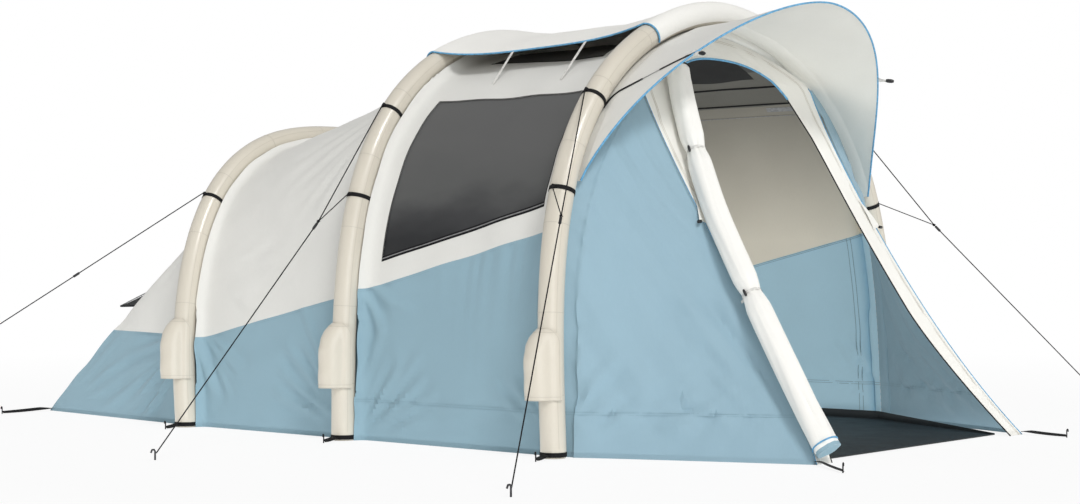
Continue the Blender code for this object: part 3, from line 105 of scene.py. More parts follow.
# Window, roof vent and its cover
WINDOW_FRONT_Z, WINDOW_MIDDLE_Z, WINDOW_TOP_Z = 1.107, 0.792, 1.607
WINDOW_START, WINDOW_END, WINDOW_LEAN = 0.12, 0.86, 0.022
VENT_FRONT_Z, VENT_MIDDLE_Z = 1.795, 1.815
VENT_START, VENT_END = 0.23, 0.82
COVER_FRONT_X, COVER_MIDDLE_X, COVER_WAIST = 0.630, 0.738, 0.004
COVER_SAG, COVER_SAG_POWER = 0.056, 3
COVER_RADIUS = BEAM_RADIUS + 0.007
COVER_WRAPS = (125.0, 75.0)
COVER_STRAP_Z = 1.728
COVER_STRAP_RUNS = (0.27, 0.615)
COVER_STRAP_WIDTH = 0.015
COVER_STRAP_LEAN = 0.05

# Cloth beside the tubes: how near it comes to their outside, how far it is pulled, and how far the pull reaches
HUG_LEVEL = 0.012
BAY_HUG, PANEL_HUG, VISOR_HUG = (1.0, 0.016), (0.50, 0.16), (0.12, 0.10)
# Room round a tube for its rings, and for the valve hoods and the roof cover: heights and radii
HUG_HEIGHTS = (0, 0.20, 0.235, 0.555, 0.59, 1.66, 1.73)
HUG_RADII = (0.0595, 0.0595, 0.0690, 0.0690, 0.0595, 0.0595, 0.0690)

# Folds: place of the pull along y and z, first and last direction, first and last reach, number, height. The
# strength multiplies the heights.
FRONT_BAY_FOLDS, MIDDLE_BAY_FOLDS, REAR_FOLDS, PANEL_FOLDS = 3.6, 3.4, 3.6, 2.9
FRONT_BAY_FANS = (
    (-0.02, -0.05, 105, 165, 0.10, 0.70, 7, 0.0075), (-1.34, 0.02, 25, 75, 0.10, 0.55, 5, 0.0060),
    (-0.04, 0.76, 195, 250, 0.05, 0.45, 4, 0.0045), (-1.28, 1.09, 150, 178, 0.0, 0.5, 3, 0.003),
)
MIDDLE_BAY_FANS = (
    (1.12, 0.50, 205, 255, 0.06, 0.60, 6, 0.0080), (-0.02, 0.05, 12, 60, 0.10, 0.75, 6, 0.0070),
    (-0.02, 1.75, -62, -22, 0.10, 0.95, 6, 0.0045), (1.10, 0.75, 150, 205, 0.06, 0.60, 4, 0.0040),
)
REAR_FANS = (
    (1.14, 0.50, -48, -12, 0.08, 1.05, 7, 0.0085), (2.45, 0.02, 120, 168, 0.15, 0.85, 5, 0.0060),
    (1.20, 1.20, -60, -30, 0.05, 0.7, 4, 0.0040),
)
FRONT_FANS = (
    (-2.30, -0.02, 12, 62, 0.22, 1.15, 9, 0.0085), (-1.86, 1.22, 25, 78, 0.04, 0.42, 8, 0.0055),
    (-1.30, 0.02, 110, 160, 0.10, 0.50, 4, 0.0060), (-1.34, 1.30, 195, 240, 0.06, 0.45, 4, 0.0040),
)

# Rear vent hood
HOOD_HINGE = (1.93211, 0.700)
HOOD_HALF_WIDTH, HOOD_LENGTH, HOOD_SLOPE = 0.880, 0.370, 18.3
HOOD_ROD_RADIUS = 0.006

# Valves and their hoods
VALVE_Z, VALVE_TURN = 0.400, 30.0
FLAP_TOP_Z, FLAP_BOTTOM_Z, FLAP_BULGE = 0.545, 0.245, 0.061
FLAP_PROFILE = ((0.0, 0.0), (0.05, 0.26), (0.12, 0.55), (0.24, 0.86), (0.40, 0.98), (0.65, 1.0), (1.0, 0.97))
FLAP_SEAT, FLAP_SHEET, FLAP_HALF_ANGLE, FLAP_NEAR_ANGLE = 0.0006, 0.003, 78.0, 112.0

# Groundsheet
TRAY_FRONT_X, TRAY_FRONT_Y, TRAY_INSET = 0.794, -2.2395, 0.0817
TRAY_LIP, TRAY_HEIGHT, TRAY_SHEET = 0.008, 0.040, 0.003

# Webbing
WEB_LIFT, WEB_THICK = 0.0006, 0.0016
RING_WIDTH, TIE_WIDTH = 0.019, 0.012
LOWER_RING_Z, UPPER_RING_Z, REAR_RING_Z = 1.130, 1.540, 1.150
STRAP_WIDTH = 0.020
FOOT_TAB, FOOT_TAB_TURN = 0.125, 15.0
CORNER_STRAP, REAR_CORNER_STRAP = 0.250, 0.330
CORNER_STRAP_OUT = {"left": 0.205, "right": -0.030}
STRAP_TWIST = 0.75
STAKE_HOOK = (
    (0, 0), (0, 0.012), (0, 0.024), (0, 0.034), (0.0015, 0.0385), (0.004, 0.040), (0.0065, 0.0385), (0.0072, 0.033),
    (0.0072, 0.028),
)

# Guy lines: places of the pegs and knots are distance from the centre line, distance behind the foot, and height
GUY_RADIUS, BRANCH_RADIUS, STRAND_RADIUS = 0.0028, 0.0024, 0.0021
PEGS = {"front": (2.549, -0.758), "middle": (2.532, -0.069), "rear": (2.405, 1.388)}
FRONT_KNOTS = {"left": (1.630, -0.232, 1.013), "right": (1.575, -0.185, 1.030)}
MIDDLE_KNOT = (1.583, -0.049, 1.013)
REAR_RUNNER_SHARE = 0.35
LUG_REACH = 0.0702
ROPE_ON_PEG_Z = 0.022
PEG_RADIUS = 0.004

# Camera
CAMERA_PLACE = (-7.6085, -6.4479, 0.8034)
CAMERA_YAW, CAMERA_PITCH, CAMERA_LENS = 50.018, 0.462, 63.65

# Lights: level of the white surrounding; turn, rise, strength and apparent size of the suns; place, direction, size
# and level of the square lamps. The camera sees a white floor to a share that grows between two distances.
SKY_LEVEL = 0.47
SUNS = {"key": (-24, 46, 1.42, 16), "fill": (-38, 10, 0.52, 30)}
LAMPS = {
    "floor_bounce": ((0, 0, 0.006), (0, 0, 1), 13.0, 0.46),
    "doorway_fill": ((-0.50, -1.05, 0.80), (1.0, 0.30, -0.05), 0.8, 4.3),
}
FLOOR_REACH, FLOOR_Z, FLOOR_GREY = 60.0, -0.001, 0.93
FLOOR_GLOW = (3.5, 9.0, 0.86, 1.0)


def unit(vector):
    vector = np.asarray(vector, float)
    return vector / np.linalg.norm(vector)


def units(vectors):
    return vectors / np.maximum(np.linalg.norm(vectors, axis=-1, keepdims=True), 1e-9)


def nearest(values, value):
    return int(np.argmin(np.abs(values - value)))


def round_turn(count, closed=True):
    return np.linspace(0, 2 * math.pi, count, endpoint=closed)


def spokes(turns, first, second):
    """Directions at angles that turn from the first direction to the second."""
    return np.cos(turns)[..., None] * first + np.sin(turns)[..., None] * second


class Arch:
    """A beam's middle line: a superellipse in a leaning plane, with upright feet."""

    SAMPLES = 1441

    def __init__(self, y, half_width, height, powers, tilt):
        self.y = y
        self.slope = math.tan(math.radians(tilt))
        turn = np.linspace(0, math.pi, self.SAMPLES)
        cosine, sine = np.cos(turn), np.abs(np.sin(turn))
        x = -half_width * np.sign(cosine) * np.abs(cosine) ** (2 / powers[0])
        z = height * sine ** (2 / powers[1])
        x[0], x[-1] = -half_width, half_width
        z[0] = z[-1] = 0.0
        length = np.r_[0, np.cumsum(np.hypot(np.diff(x), np.diff(z)))]
        even = np.linspace(0, length[-1], self.SAMPLES)
        self.length = length[-1]
        self.share = even / length[-1]
        self.x = np.interp(even, length, x)
        self.z = np.interp(even, length, z)
        run, rise = np.gradient(self.x), np.gradient(self.z)
        size = np.hypot(run, rise)
        self.in_x, self.in_z = rise / size, -run / size
        self.in_z[0] = self.in_z[-1] = 0.0
        heading = np.unwrap(np.arctan2(rise, run))
        bend = np.r_[0, np.cumsum(np.abs(np.diff(heading)))]
        self.progress = bend / bend[-1] * BEND_SHARE + self.share * (1 - BEND_SHARE)

    def spread(self, low, high, count):
        """Shares after low up to high, closer together where the beam curves."""
        start, end = np.interp([low, high], self.share, self.progress)
        steps = start + (end - start) * np.arange(1, count + 1) / count
        return [float(share) for share in np.interp(steps, self.progress, self.share)]

    def y_at(self, z):
        return self.y + self.slope * np.maximum(0, np.asarray(z) - FOOT_LENGTH)

    def points(self, shares, inset=0.0):
        x = np.interp(shares, self.share, self.x + inset * self.in_x)
        z = np.interp(shares, self.share, self.z + inset * self.in_z)
        return np.stack([x, self.y_at(z), z], -1)

    def share_at(self, z, inset=0.0):
        half = self.SAMPLES // 2 + 1
        return float(np.interp(z, (self.z + inset * self.in_z)[:half], self.share[:half]))

    def frames(self, shares):
        """Middles of the tube, its directions and the outward directions."""
        shares = np.asarray(shares, float)
        middle = self.points(shares)
        step = 0.003
        along = units(self.points(np.minimum(1, shares + step)) - self.points(np.maximum(0, shares - step)))
        out = middle - self.points(shares, 0.2)
        out = units(out - along * (out * along).sum(-1, keepdims=True))
        return middle, along, out

    def frame(self, share):
        return (part[0] for part in self.frames([share]))

    def share_on(self, z, side):
        share = self.share_at(z)
        return share if side < 0 else 1 - share


FRONT = Arch(FRONT_Y, 1.400, 2.012, (1.80, 3.36), 2.46)
MIDDLE = Arch(MIDDLE_Y, 1.377, 1.968, (2.24, 3.33), 0.0)
REAR = Arch(REAR_Y, 1.366, 1.534, (3.20, 2.32), 6.28)
BEAMS = {"front": FRONT, "middle": MIDDLE, "rear": REAR}
RINGS = {
    "front": {"upper": UPPER_RING_Z, "lower": LOWER_RING_Z},
    "middle": {"upper": UPPER_RING_Z, "lower": LOWER_RING_Z},
    "rear": {"upper": REAR_RING_Z},
}


# Materials

class Nodes:
    """The nodes of a material or world, made piece by piece round its main shader."""

    def __init__(self, owner, shader):
        owner.use_nodes = True
        self.owner, self.tree = owner, owner.node_tree
        self.shader = self.tree.nodes[shader]

    def put(self, socket, value):
        if isinstance(value, bpy.types.NodeSocket):
            self.tree.links.new(value, socket)
        else:
            socket.default_value = value

    def dress(self, **inputs):
        """Sets or links inputs of the main shader, and gives the material or world."""
        for key, value in inputs.items():
            self.put(self.shader.inputs[key.replace("_", " ")], value)
        return self.owner

    def add(self, kind, *values, **settings):
        """A node, with its inputs given in their order or by name, and its settings by name."""
        node = self.tree.nodes.new(f"ShaderNode{kind}")
        for socket, value in zip(node.inputs, values):
            self.put(socket, value)
        for key, value in settings.items():
            if key in node.inputs:
                self.put(node.inputs[key], value)
            else:
                setattr(node, key, value)
        return node

    def coords(self, kind):
        return self.add("TexCoord").outputs[kind]

    def height(self, coords):
        return self.add("SeparateXYZ", coords).outputs["Z"]

    def noise(self, coords, scale, detail=3.0, roughness=0.5, stretch=(1, 1, 1)):
        place = self.add("Mapping", Vector=coords, Scale=stretch).outputs["Vector"]
        return self.add("TexNoise", Vector=place, Scale=scale, Detail=detail, Roughness=roughness).outputs["Fac"]

    def wave(self, coords, scale, direction):
        return self.add("TexWave", Vector=coords, Scale=scale, bands_direction=direction).outputs["Fac"]

    def ramp(self, factor, stops):
        made = self.add("ValToRGB", factor)
        elements = made.color_ramp.elements
        while len(elements) < len(stops):
            elements.new(0.5)
        for element, (place, colour) in zip(elements, stops):
            element.position, element.color = place, (*colour, 1)
        return made.outputs["Color"]

    def maths(self, operation, first, second):
        return self.add("Math", first, second, operation=operation).outputs["Value"]

    def span(self, value, *limits):
        """The value, taken from between the first two limits to between the last two."""
        return self.add("MapRange", value, *limits).outputs["Result"]

    def bump(self, height, strength, distance, **more):
        return self.add("Bump", Height=height, Strength=strength, Distance=distance, **more).outputs["Normal"]

    def paint_shade_upwards(self, colours, coords, low, high, share):
        """The colours, darkened evenly between two heights to a share of themselves: painted shade."""
        level = self.span(self.height(coords), low, high, 1.0, share)
        return self.add("VectorMath", operation="SCALE", Vector=colours, Scale=level).outputs["Vector"]

    def end_mixed(self, output, factor, other):
        """Leads the main shader and another one, mixed by a factor, to the output."""
        mix = self.add("MixShader", factor, self.shader.outputs[0], other.outputs[0])
        self.put(self.tree.nodes[output].inputs["Surface"], mix.outputs["Shader"])


def material(name, colour, roughness, metallic=0.0, **more):
    made = Nodes(bpy.data.materials.new(name), "Principled BSDF")
    made.dress(Base_Color=(*colour, 1), Roughness=roughness, Metallic=metallic, **more)
    return made


def shade(colour, share):
    return tuple(min(1.0, c * share) for c in colour)


def cloth(
    name, colour, roughness=0.72, weave=420.0, coords="UV", bump=0.25, folds=0.35, tone=0.04, sheen=0.10, coat=0.0,
    painted_shade=None,
):
    """Coated woven fabric: a plain weave, slubs, soft tonal drift and faint creases, and where asked a painted shade
    that darkens it upwards.
    """
    made = material(
        name, colour, roughness, Sheen_Weight=sheen, Sheen_Roughness=0.5, Coat_Weight=coat, Coat_Roughness=0.14,
    )
    flat, solid = made.coords(coords), made.coords("Object")
    drift = made.maths("MULTIPLY", made.noise(solid, 1.3, 4.0, 0.6), 0.75)
    slubs = made.maths("MULTIPLY", made.noise(flat, 160.0, 2.0, 0.6, (1, 0.25, 1)), 0.25)
    stops = [(0.30, shade(colour, 1 - tone)), (0.52, colour), (0.72, shade(colour, 1 + tone))]
    colours = made.ramp(made.maths("ADD", drift, slubs), stops)
    # Painted shade: the colour darkens upwards between two heights.
    if painted_shade:
        colours = made.paint_shade_upwards(colours, solid, *painted_shade)
    rough = made.span(made.noise(solid, 9.0), 0, 1, roughness - 0.08, roughness + 0.08)
    creases = made.bump(made.noise(solid, 5.5, 5.0, 0.55, (1, 1, 0.45)), folds, 0.006)
    threads = made.maths("ADD", made.wave(flat, weave, "X"), made.wave(flat, weave, "Y"))
    grain = made.bump(threads, bump, 0.0002, Normal=creases)
    return made.dress(Base_Color=colours, Roughness=rough, Normal=grain)


def webbing(name, colour, roughness=0.8, ribs=900.0):
    """Narrow woven band with diagonal ribs."""
    made = material(name, colour, roughness, Specular_IOR_Level=0.25)
    solid = made.coords("Object")
    colours = made.ramp(made.noise(solid, 60.0), [(0.3, shade(colour, 0.8)), (0.7, shade(colour, 1.25))])
    return made.dress(Base_Color=colours, Normal=made.bump(made.wave(solid, ribs, "DIAGONAL"), 0.5, 0.0004))


def moulded(name, colour, roughness, metallic=0.0):
    """Moulded plastic or coated steel with a fine mottle and handling marks."""
    made = material(name, colour, roughness, metallic)
    solid = made.coords("Object")
    marks = made.noise(solid, 140.0, 4.0)
    colours = made.ramp(marks, [(0.35, shade(colour, 0.8)), (0.7, shade(colour, 1.35))])
    rough = made.span(marks, 0, 1, max(0.05, roughness - 0.12), roughness + 0.12)
    return made.dress(Base_Color=colours, Roughness=rough, Normal=made.bump(made.noise(solid, 700.0), 0.2, 0.0003))


GREY = (0.72, 0.715, 0.68)
BLUE = (0.255, 0.395, 0.468)
WHITE = (0.87, 0.86, 0.82)
CREAM = (0.64, 0.595, 0.505)
TRIM_BLUE = (0.13, 0.36, 0.58)
BLACK = (0.007, 0.007, 0.008)

GREY_CLOTH = cloth("fly_grey_cloth", GREY)
BLUE_CLOTH = cloth("fly_blue_cloth", BLUE, folds=0.55)
# Painted light: the front panels' blue is a slightly lighter copy of the side blue, for their lit front.
FRONT_BLUE = cloth("front_blue_cloth", (0.268, 0.405, 0.484), folds=0.6)
# Painted light and shade: the lining is lighter than the grey outside, for light coming through the cloth, and painted
# shade darkens it from 0.95 m up to 1.66 m, to 0.30 of its colour.
LINING = cloth("fly_lining", (0.84, 0.785, 0.66), painted_shade=(0.95, 1.66, 0.30))
# Painted light: the blue lining is much lighter than the blue outside, for light coming through the cloth;
# SHADED_LINING is its copy in painted shade, used inside the front panels.
BLUE_LINING = cloth("blue_lining", (0.45, 0.68, 0.80))
SHADED_LINING = cloth("front_lining", (0.26, 0.40, 0.48))
# Painted shade: the lining high in the roof, darker and almost black near the vent, for the shade up there.
ROOF_LINING = cloth("roof_lining", (0.15, 0.145, 0.125))
DARK_LINING = cloth("dark_lining", (0.07, 0.07, 0.065))
# Painted light: the visor's underside is lighter than the grey outside, for light bounced up from the floor.
VISOR_LINING = cloth("visor_lining", (0.76, 0.76, 0.71), folds=0.5)
WHITE_CLOTH = cloth("white_cloth", WHITE, folds=0.5)
FRAME_CLOTH = cloth("frame_cloth", (0.86, 0.85, 0.80), folds=0.5)
# Painted shade: the white cover's underside is a dark grey copy of it, for the shade under the cover.
COVER_LINING = cloth("cover_lining", (0.50, 0.48, 0.42))
BEAM_CLOTH = cloth("beam_sleeve", CREAM, roughness=0.34, bump=0.12, folds=0.30, sheen=0.0, coat=0.35)
FLOOR_CLOTH = cloth(
    "groundsheet_cloth", (0.006, 0.011, 0.014), roughness=0.62, coords="Object", folds=0.6, tone=0.4, sheen=0.0,
)
NET_CLOTH = cloth("roof_net_cloth", (0.085, 0.085, 0.080), roughness=0.85, weave=200.0, bump=1.0, tone=0.3, sheen=0.0)
MESH_CLOTH = cloth("vent_mesh_cloth", (0.022, 0.022, 0.022), roughness=0.85, weave=200.0, bump=1.0, tone=0.3, sheen=0.0)
SEAM_BLUE = cloth("blue_seam", shade(BLUE, 0.92), coords="Object")
SEAM_CREAM = cloth("cream_seam", shade(CREAM, 0.86), roughness=0.5, coords="Object", sheen=0.0)
STITCH = cloth("white_stitch", (0.70, 0.74, 0.76), coords="Object")
TRIM = webbing("blue_binding", TRIM_BLUE, 0.6)
WHITE_WEB = webbing("white_webbing", (0.66, 0.65, 0.62), 0.7)
BLACK_WEB = webbing("black_webbing", BLACK)
GREY_WEB = webbing("grey_webbing", (0.30, 0.30, 0.30))
ROPE = webbing("rope_braid", BLACK, 0.85, 1500.0)
PLASTIC = moulded("black_moulding", (0.012, 0.012, 0.013), 0.45)
STEEL = moulded("peg_steel_coat", (0.05, 0.05, 0.055), 0.45, 0.6)
GREY_AND_BLUE = [(GREY_CLOTH, LINING), (BLUE_CLOTH, BLUE_LINING)]


def tinted_pane():
    """Smoky flexible window, darker towards its sill, faintly cloudy."""
    made = material("window_tint", (0.06, 0.06, 0.062), 0.50, Specular_IOR_Level=0.3)
    solid = made.coords("Object")
    cloud = made.maths("MULTIPLY", made.noise(solid, 2.6, 3.0, 0.5, (1, 1, 2.2)), 0.28)
    level = made.span(made.maths("ADD", made.height(solid), cloud), 1.02, 1.52)
    colours = made.ramp(level, [
        (0.0, (0.020, 0.021, 0.023)), (0.30, (0.045, 0.046, 0.048)), (0.62, (0.092, 0.094, 0.093)),
        (1.0, (0.105, 0.106, 0.105)),
    ])
    return made.dress(Base_Color=colours, Normal=made.bump(made.noise(solid, 4.0, 3.0), 0.12, 0.004))


FOIL = tinted_pane()


# Mesh building

def add_object(name, mesh, finishes, body=ROOT, replaces=(), slot=None):
    for finish in finishes:
        mesh.materials.append(finish)
    made = bpy.data.objects.new(name, mesh)
    bpy.context.scene.collection.objects.link(made)
    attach(made, body)
    if replaces:
        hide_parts(*replaces)
    return made


def add_mesh(name, points, faces, finishes, tones=None, uv=None, sharp=40, **more):
    """A mesh with its faces turned outward, smooth but for its sharp edges."""
    mesh = bpy.data.meshes.new(name)
    mesh.from_pydata(np.asarray(points, float).tolist(), [], faces)
    if tones is not None:
        mesh.polygons.foreach_set("material_index", tones)
    shaped = bmesh.new()
    shaped.from_mesh(mesh)
    bmesh.ops.recalc_face_normals(shaped, faces=shaped.faces[:])
    shaped.to_mesh(mesh)
    shaped.free()
    if uv is not None:
        layer = mesh.uv_layers.new(name="UVMap")
        index = np.zeros(len(mesh.loops), int)
        mesh.loops.foreach_get("vertex_index", index)
        layer.data.foreach_set("uv", np.asarray(uv, float)[index].ravel())
    mesh.shade_smooth()
    mesh.set_sharp_from_angle(angle=math.radians(sharp))
    return add_object(name, mesh, finishes, **more)


def grid_normals(grid, inside):
    down, along = np.gradient(grid, axis=0), np.gradient(grid, axis=1)
    normal = units(np.cross(down, along))
    towards = np.asarray(inside, float) - grid
    return normal * np.sign((normal * towards).sum(-1).mean())


def grid_uv(grid):
    u = np.zeros(grid.shape[:2])
    v = np.zeros(grid.shape[:2])
    u[:, 1:] = np.cumsum(np.linalg.norm(np.diff(grid, axis=1), axis=-1), axis=1)
    v[1:] = np.cumsum(np.linalg.norm(np.diff(grid, axis=0), axis=-1), axis=0)
    u -= u.mean(1, keepdims=True)
    return np.stack([u, v], -1)


def skin(
    name, grid, pairs, inside, tones=None, holes=None, flat_ends=(), thick=SHEET, rests_on=(), held="stretched", **more,
):
    """A thin closed sheet through a grid; each tone has an outer finish and a lining."""
    rows, columns = grid.shape[:2]
    normal = grid_normals(grid, inside)
    for column in flat_ends:
        normal[:, column, 1] = 0.0
    normal[grid[..., 2] < GROUND_Z, 2] = 0.0
    normal = units(normal)
    points = np.concatenate([grid.reshape(-1, 3), (grid + normal * thick).reshape(-1, 3)])
    count = rows * columns
    if tones is None:
        tones = np.zeros((rows - 1, columns - 1), int)
    present = np.ones((rows - 1, columns - 1), bool) if holes is None else ~holes
    finishes = [pair[0] for pair in pairs] + [pair[1] for pair in pairs]
    faces, finish = [], []
    for i, j in np.argwhere(present):
        a = i * columns + j
        index = [a, a + columns, a + columns + 1, a + 1]
        for corner in (index[:3], [index[0], index[2], index[3]]):
            faces += [corner[::-1], [k + count for k in corner]]
            finish += [int(tones[i, j]), int(tones[i, j]) + len(pairs)]
        for edge, (x, y) in enumerate(((i, j - 1), (i + 1, j), (i, j + 1), (i - 1, j))):
            if not (0 <= x < rows - 1 and 0 <= y < columns - 1 and present[x, y]):
                b, c = index[edge], index[(edge + 1) % 4]
                faces.append([b, c, c + count, b + count])
                finish.append(int(tones[i, j]))
    used = np.unique(np.concatenate([np.array(face) for face in faces]))
    place = np.full(len(points), -1)
    place[used] = np.arange(len(used))
    faces = [place[face].tolist() for face in faces]
    uv = np.concatenate([grid_uv(grid).reshape(-1, 2)] * 2)
    made = add_mesh(name, points[used], faces, finishes, finish, uv[used], **more)
    if rests_on:
        declare_sheet(grid, holes)


def declare_sheet(grid, holes):
    """Works out the area of each of the sheet's cells, leaving out its holes, and keeps nothing."""
    a, b, c, d = grid[:-1, :-1], grid[1:, :-1], grid[1:, 1:], grid[:-1, 1:]
    cells = np.linalg.norm(np.cross(c - a, d - b), axis=-1) / 2
    if holes is not None:
        cells = cells[~holes]


def ripple(u, v, seed, low, high, count=7):
    """Soft unevenness over a sheet, about one unit high."""
    random = np.random.default_rng(seed)
    total = np.zeros(np.broadcast(u, v).shape)
    for _ in range(count):
        angle, size, phase = random.uniform(0, math.pi), random.uniform(low, high), random.uniform(0, 2 * math.pi)
        total += np.sin((u * math.cos(angle) + v * math.sin(angle)) * 2 * math.pi / size + phase)
    return total / math.sqrt(count)


def from_sides(u):
    return np.minimum(u - u.min(1, keepdims=True), u.max(1, keepdims=True) - u)


def creased(grid, inside, seed, height, low=0.18, high=0.7, edge=0.12):
    """The grid with shallow creases that fade out at its edges."""
    uv = grid_uv(grid)
    u, v = uv[..., 0], uv[..., 1]
    from_ends = np.minimum(v, v.max(0, keepdims=True) - v)
    fade = np.clip(np.minimum(from_sides(u), from_ends) / edge, 0, 1)
    fade = fade * fade * (3 - 2 * fade)
    return grid + grid_normals(grid, inside) * (ripple(u, v, seed, low, high) * height * fade)[..., None]


def tube(points, radius, sides=10):
    """Points and faces of a round tube with closed ends."""
    points = np.asarray(points, float)
    along = units(np.gradient(points, axis=0))
    side = np.cross(along[0], [0, 0, 1.0] if abs(along[0][2]) < 0.9 else [1.0, 0, 0])
    turns = round_turn(sides, False)
    loops = []
    for point, ahead, size in zip(points, along, np.broadcast_to(radius, len(points))):
        side = unit(side - ahead * side.dot(ahead))
        loops.append(point + size * spokes(turns, side, np.cross(ahead, side)))
    return np.concatenate(loops), tube_faces(sides, len(points))


def tube_faces(sides, rings):
    faces = [list(range(sides)), list(range((rings - 1) * sides, rings * sides))]
    for ring in range(rings - 1):
        for k in range(sides):
            n = (k + 1) % sides
            faces.append([ring * sides + k, ring * sides + n, (ring + 1) * sides + n, (ring + 1) * sides + k])
    return faces


def band(points, normals, width, thick):
    """Points and faces of a flat band along a line, lying square to its normals."""
    points, normals = np.asarray(points, float), np.broadcast_to(np.asarray(normals, float), np.shape(points))
    along = units(np.gradient(points, axis=0))
    across = units(np.cross(along, normals))
    up = np.cross(across, along) * thick
    half = across * np.broadcast_to(np.asarray(width, float), len(points))[:, None] / 2
    loops = np.stack([points - half, points + half, points + half + up, points - half + up], 1)
    return loops.reshape(-1, 3), tube_faces(4, len(points))


class Bundle:
    """Small pieces of one finish, gathered into one object."""

    def __init__(self, name, finish, slot):
        self.name, self.finish, self.slot = name, finish, slot
        self.points, self.faces, self.count = [], [], 0

    def add(self, shape):
        points, faces = shape
        self.points.append(points)
        self.faces += [[k + self.count for k in face] for face in faces]
        self.count += len(points)

    def finish_up(self, **more):
        return add_mesh(self.name, np.concatenate(self.points), self.faces, [self.finish], slot=self.slot, **more)


TRIMS = Bundle("blue_trim", TRIM, "fly_blue")
BLUE_SEAMS = Bundle("blue_seams", SEAM_BLUE, "fly_blue")
CREAM_SEAMS = Bundle("sleeve_seams", SEAM_CREAM, "beam_cream")
STITCHES = Bundle("white_stitches", STITCH, "fly_grey")
ZIPS = Bundle("zip_tapes", BLACK_WEB, "webbing_black")
TOGGLES = Bundle("toggles", PLASTIC, "valve_black")
WHITE_TAPES = Bundle("white_straps", WHITE_WEB, "cover_white")
GREY_TAPES = Bundle("grey_tapes", GREY_WEB, "webbing_black")
BUNDLES = (TRIMS, BLUE_SEAMS, CREAM_SEAMS, STITCHES, ZIPS, TOGGLES, WHITE_TAPES, GREY_TAPES)


def black_web(name):
    return Bundle(name, BLACK_WEB, "webbing_black")


EVERY = slice(None)


def surface_line(grid, inside, *place):
    """A run of a grid's row or column, with its outward normals."""
    return grid[place], -grid_normals(grid, inside)[place]


def line_at(grid, inside, z, columns=None, side=0):
    """The line where a grid, or only its left or right half, reaches a height, with outward normals."""
    normal = -grid_normals(grid, inside)
    half = len(grid) // 2
    rows = {0: EVERY, -1: slice(0, half), 1: slice(len(grid) - 1, half, -1)}[side]
    points, normals = [], []
    for column in columns or range(grid.shape[1]):
        height = grid[rows, column, 2]
        points.append([np.interp(z, height, grid[rows, column, k]) for k in range(3)])
        normals.append([np.interp(z, height, normal[rows, column, k]) for k in range(3)])
    return np.array(points), units(np.array(normals))


def path_length(points):
    return float(np.linalg.norm(np.diff(points, axis=0), axis=1).sum())


def resampled(line, shares):
    length = np.r_[0, np.cumsum(np.linalg.norm(np.diff(line, axis=0), axis=1))]
    wanted = np.asarray(shares) * length[-1]
    return np.stack([np.interp(wanted, length, line[:, k]) for k in range(3)], -1)


def double_seam(bundle, line, normal, gap=0.011, width=THREAD_WIDTH, both=True):
    """Two rows of thread beside each other, outside and inside the cloth."""
    across = units(np.cross(units(np.gradient(line, axis=0)), normal))
    for shift in (-gap / 2, gap / 2):
        for face, depth in ((normal, 0), (-normal, SHEET))[:1 + both]:
            bundle.add(band(line + across * shift + face * (depth + THREAD_LIFT), face, width, THREAD_THICK))


def colour_seam(line, normal):
    double_seam(BLUE_SEAMS, line - [0, 0, SEAM_DROP], normal, SEAM_GAP)


def dashed(line, normal):
    length = path_length(line)
    for start in np.arange(0, length - STITCH_LENGTH, STITCH_PITCH):
        piece = resampled(line, np.linspace(start, start + STITCH_LENGTH, 3) / length)
        lift = resampled(normal, np.full(3, start / length))
        STITCHES.add(tube(piece + lift * STITCH_LIFT, STITCH_RADIUS, 5))


# Air beams

def make_beams():
    turns = round_turn(BEAM_SIDES, False)
    for name, arch in BEAMS.items():
        foot = FOOT_LENGTH / arch.length
        shares = np.array([foot, *arch.spread(foot, 1 - foot, 200)])
        middle, along, out = arch.frames(shares)
        binormal = np.cross(along, out)
        v = shares * arch.length
        swell = 1 - 0.006 * np.exp(-((v[:, None] % 0.62 - 0.31) / 0.006) ** 2)
        seam = 1 - 0.010 * np.exp(-((turns - math.pi * 0.42) / 0.10) ** 2)
        soft = 1 + 0.004 * ripple(turns[None] * 0.06, v[:, None], 11, 0.05, 0.3)
        radius = np.minimum(BEAM_RADIUS, BEAM_RADIUS * swell * seam * soft)
        ring = spokes(turns, out[:, None], binormal[:, None])
        loops = middle[:, None] + ring * radius[..., None]
        ends = []
        for end in (0, -1):
            core = arch.points(float(-end))[:2]
            upper = loops[end].copy()
            upper[:, :2] -= middle[end][:2] - core
            lower = upper.copy()
            upper[:, 2], lower[:, 2] = 0.010, 0.0
            lower[:, :2] = core + (lower[:, :2] - core) * 0.93
            ends.append([lower, upper])
        loops = np.concatenate([ends[0], loops, ends[1][::-1]])
        lengths = np.r_[0, 0.01, v, v[-1] + 0.03, v[-1] + 0.04]
        uv = np.stack([np.tile(turns * BEAM_RADIUS, len(loops)), np.repeat(lengths, BEAM_SIDES)], -1)
        add_mesh(
            f"{name}_beam_sleeve", loops.reshape(-1, 3), tube_faces(BEAM_SIDES, len(loops)), [BEAM_CLOTH],
            uv=uv, replaces=[f"{name}_beam"], slot="beam_cream",
        )
        for length in np.arange(0.24, arch.length - 0.1, 0.37):
            k = nearest(v, length)
            spoke = np.vstack([ring[k], ring[k][:1]])
            CREAM_SEAMS.add(band(middle[k] + spoke * (BEAM_RADIUS - 0.0003), spoke, 0.0035, HEM_THICK))
        for turn in (-1.15, 1.15, math.pi * 0.62):
            spoke = spokes(turn, out, binormal)
            CREAM_SEAMS.add(band(middle + spoke * (BEAM_RADIUS - 0.0004), spoke, THREAD_WIDTH, HEM_THICK))


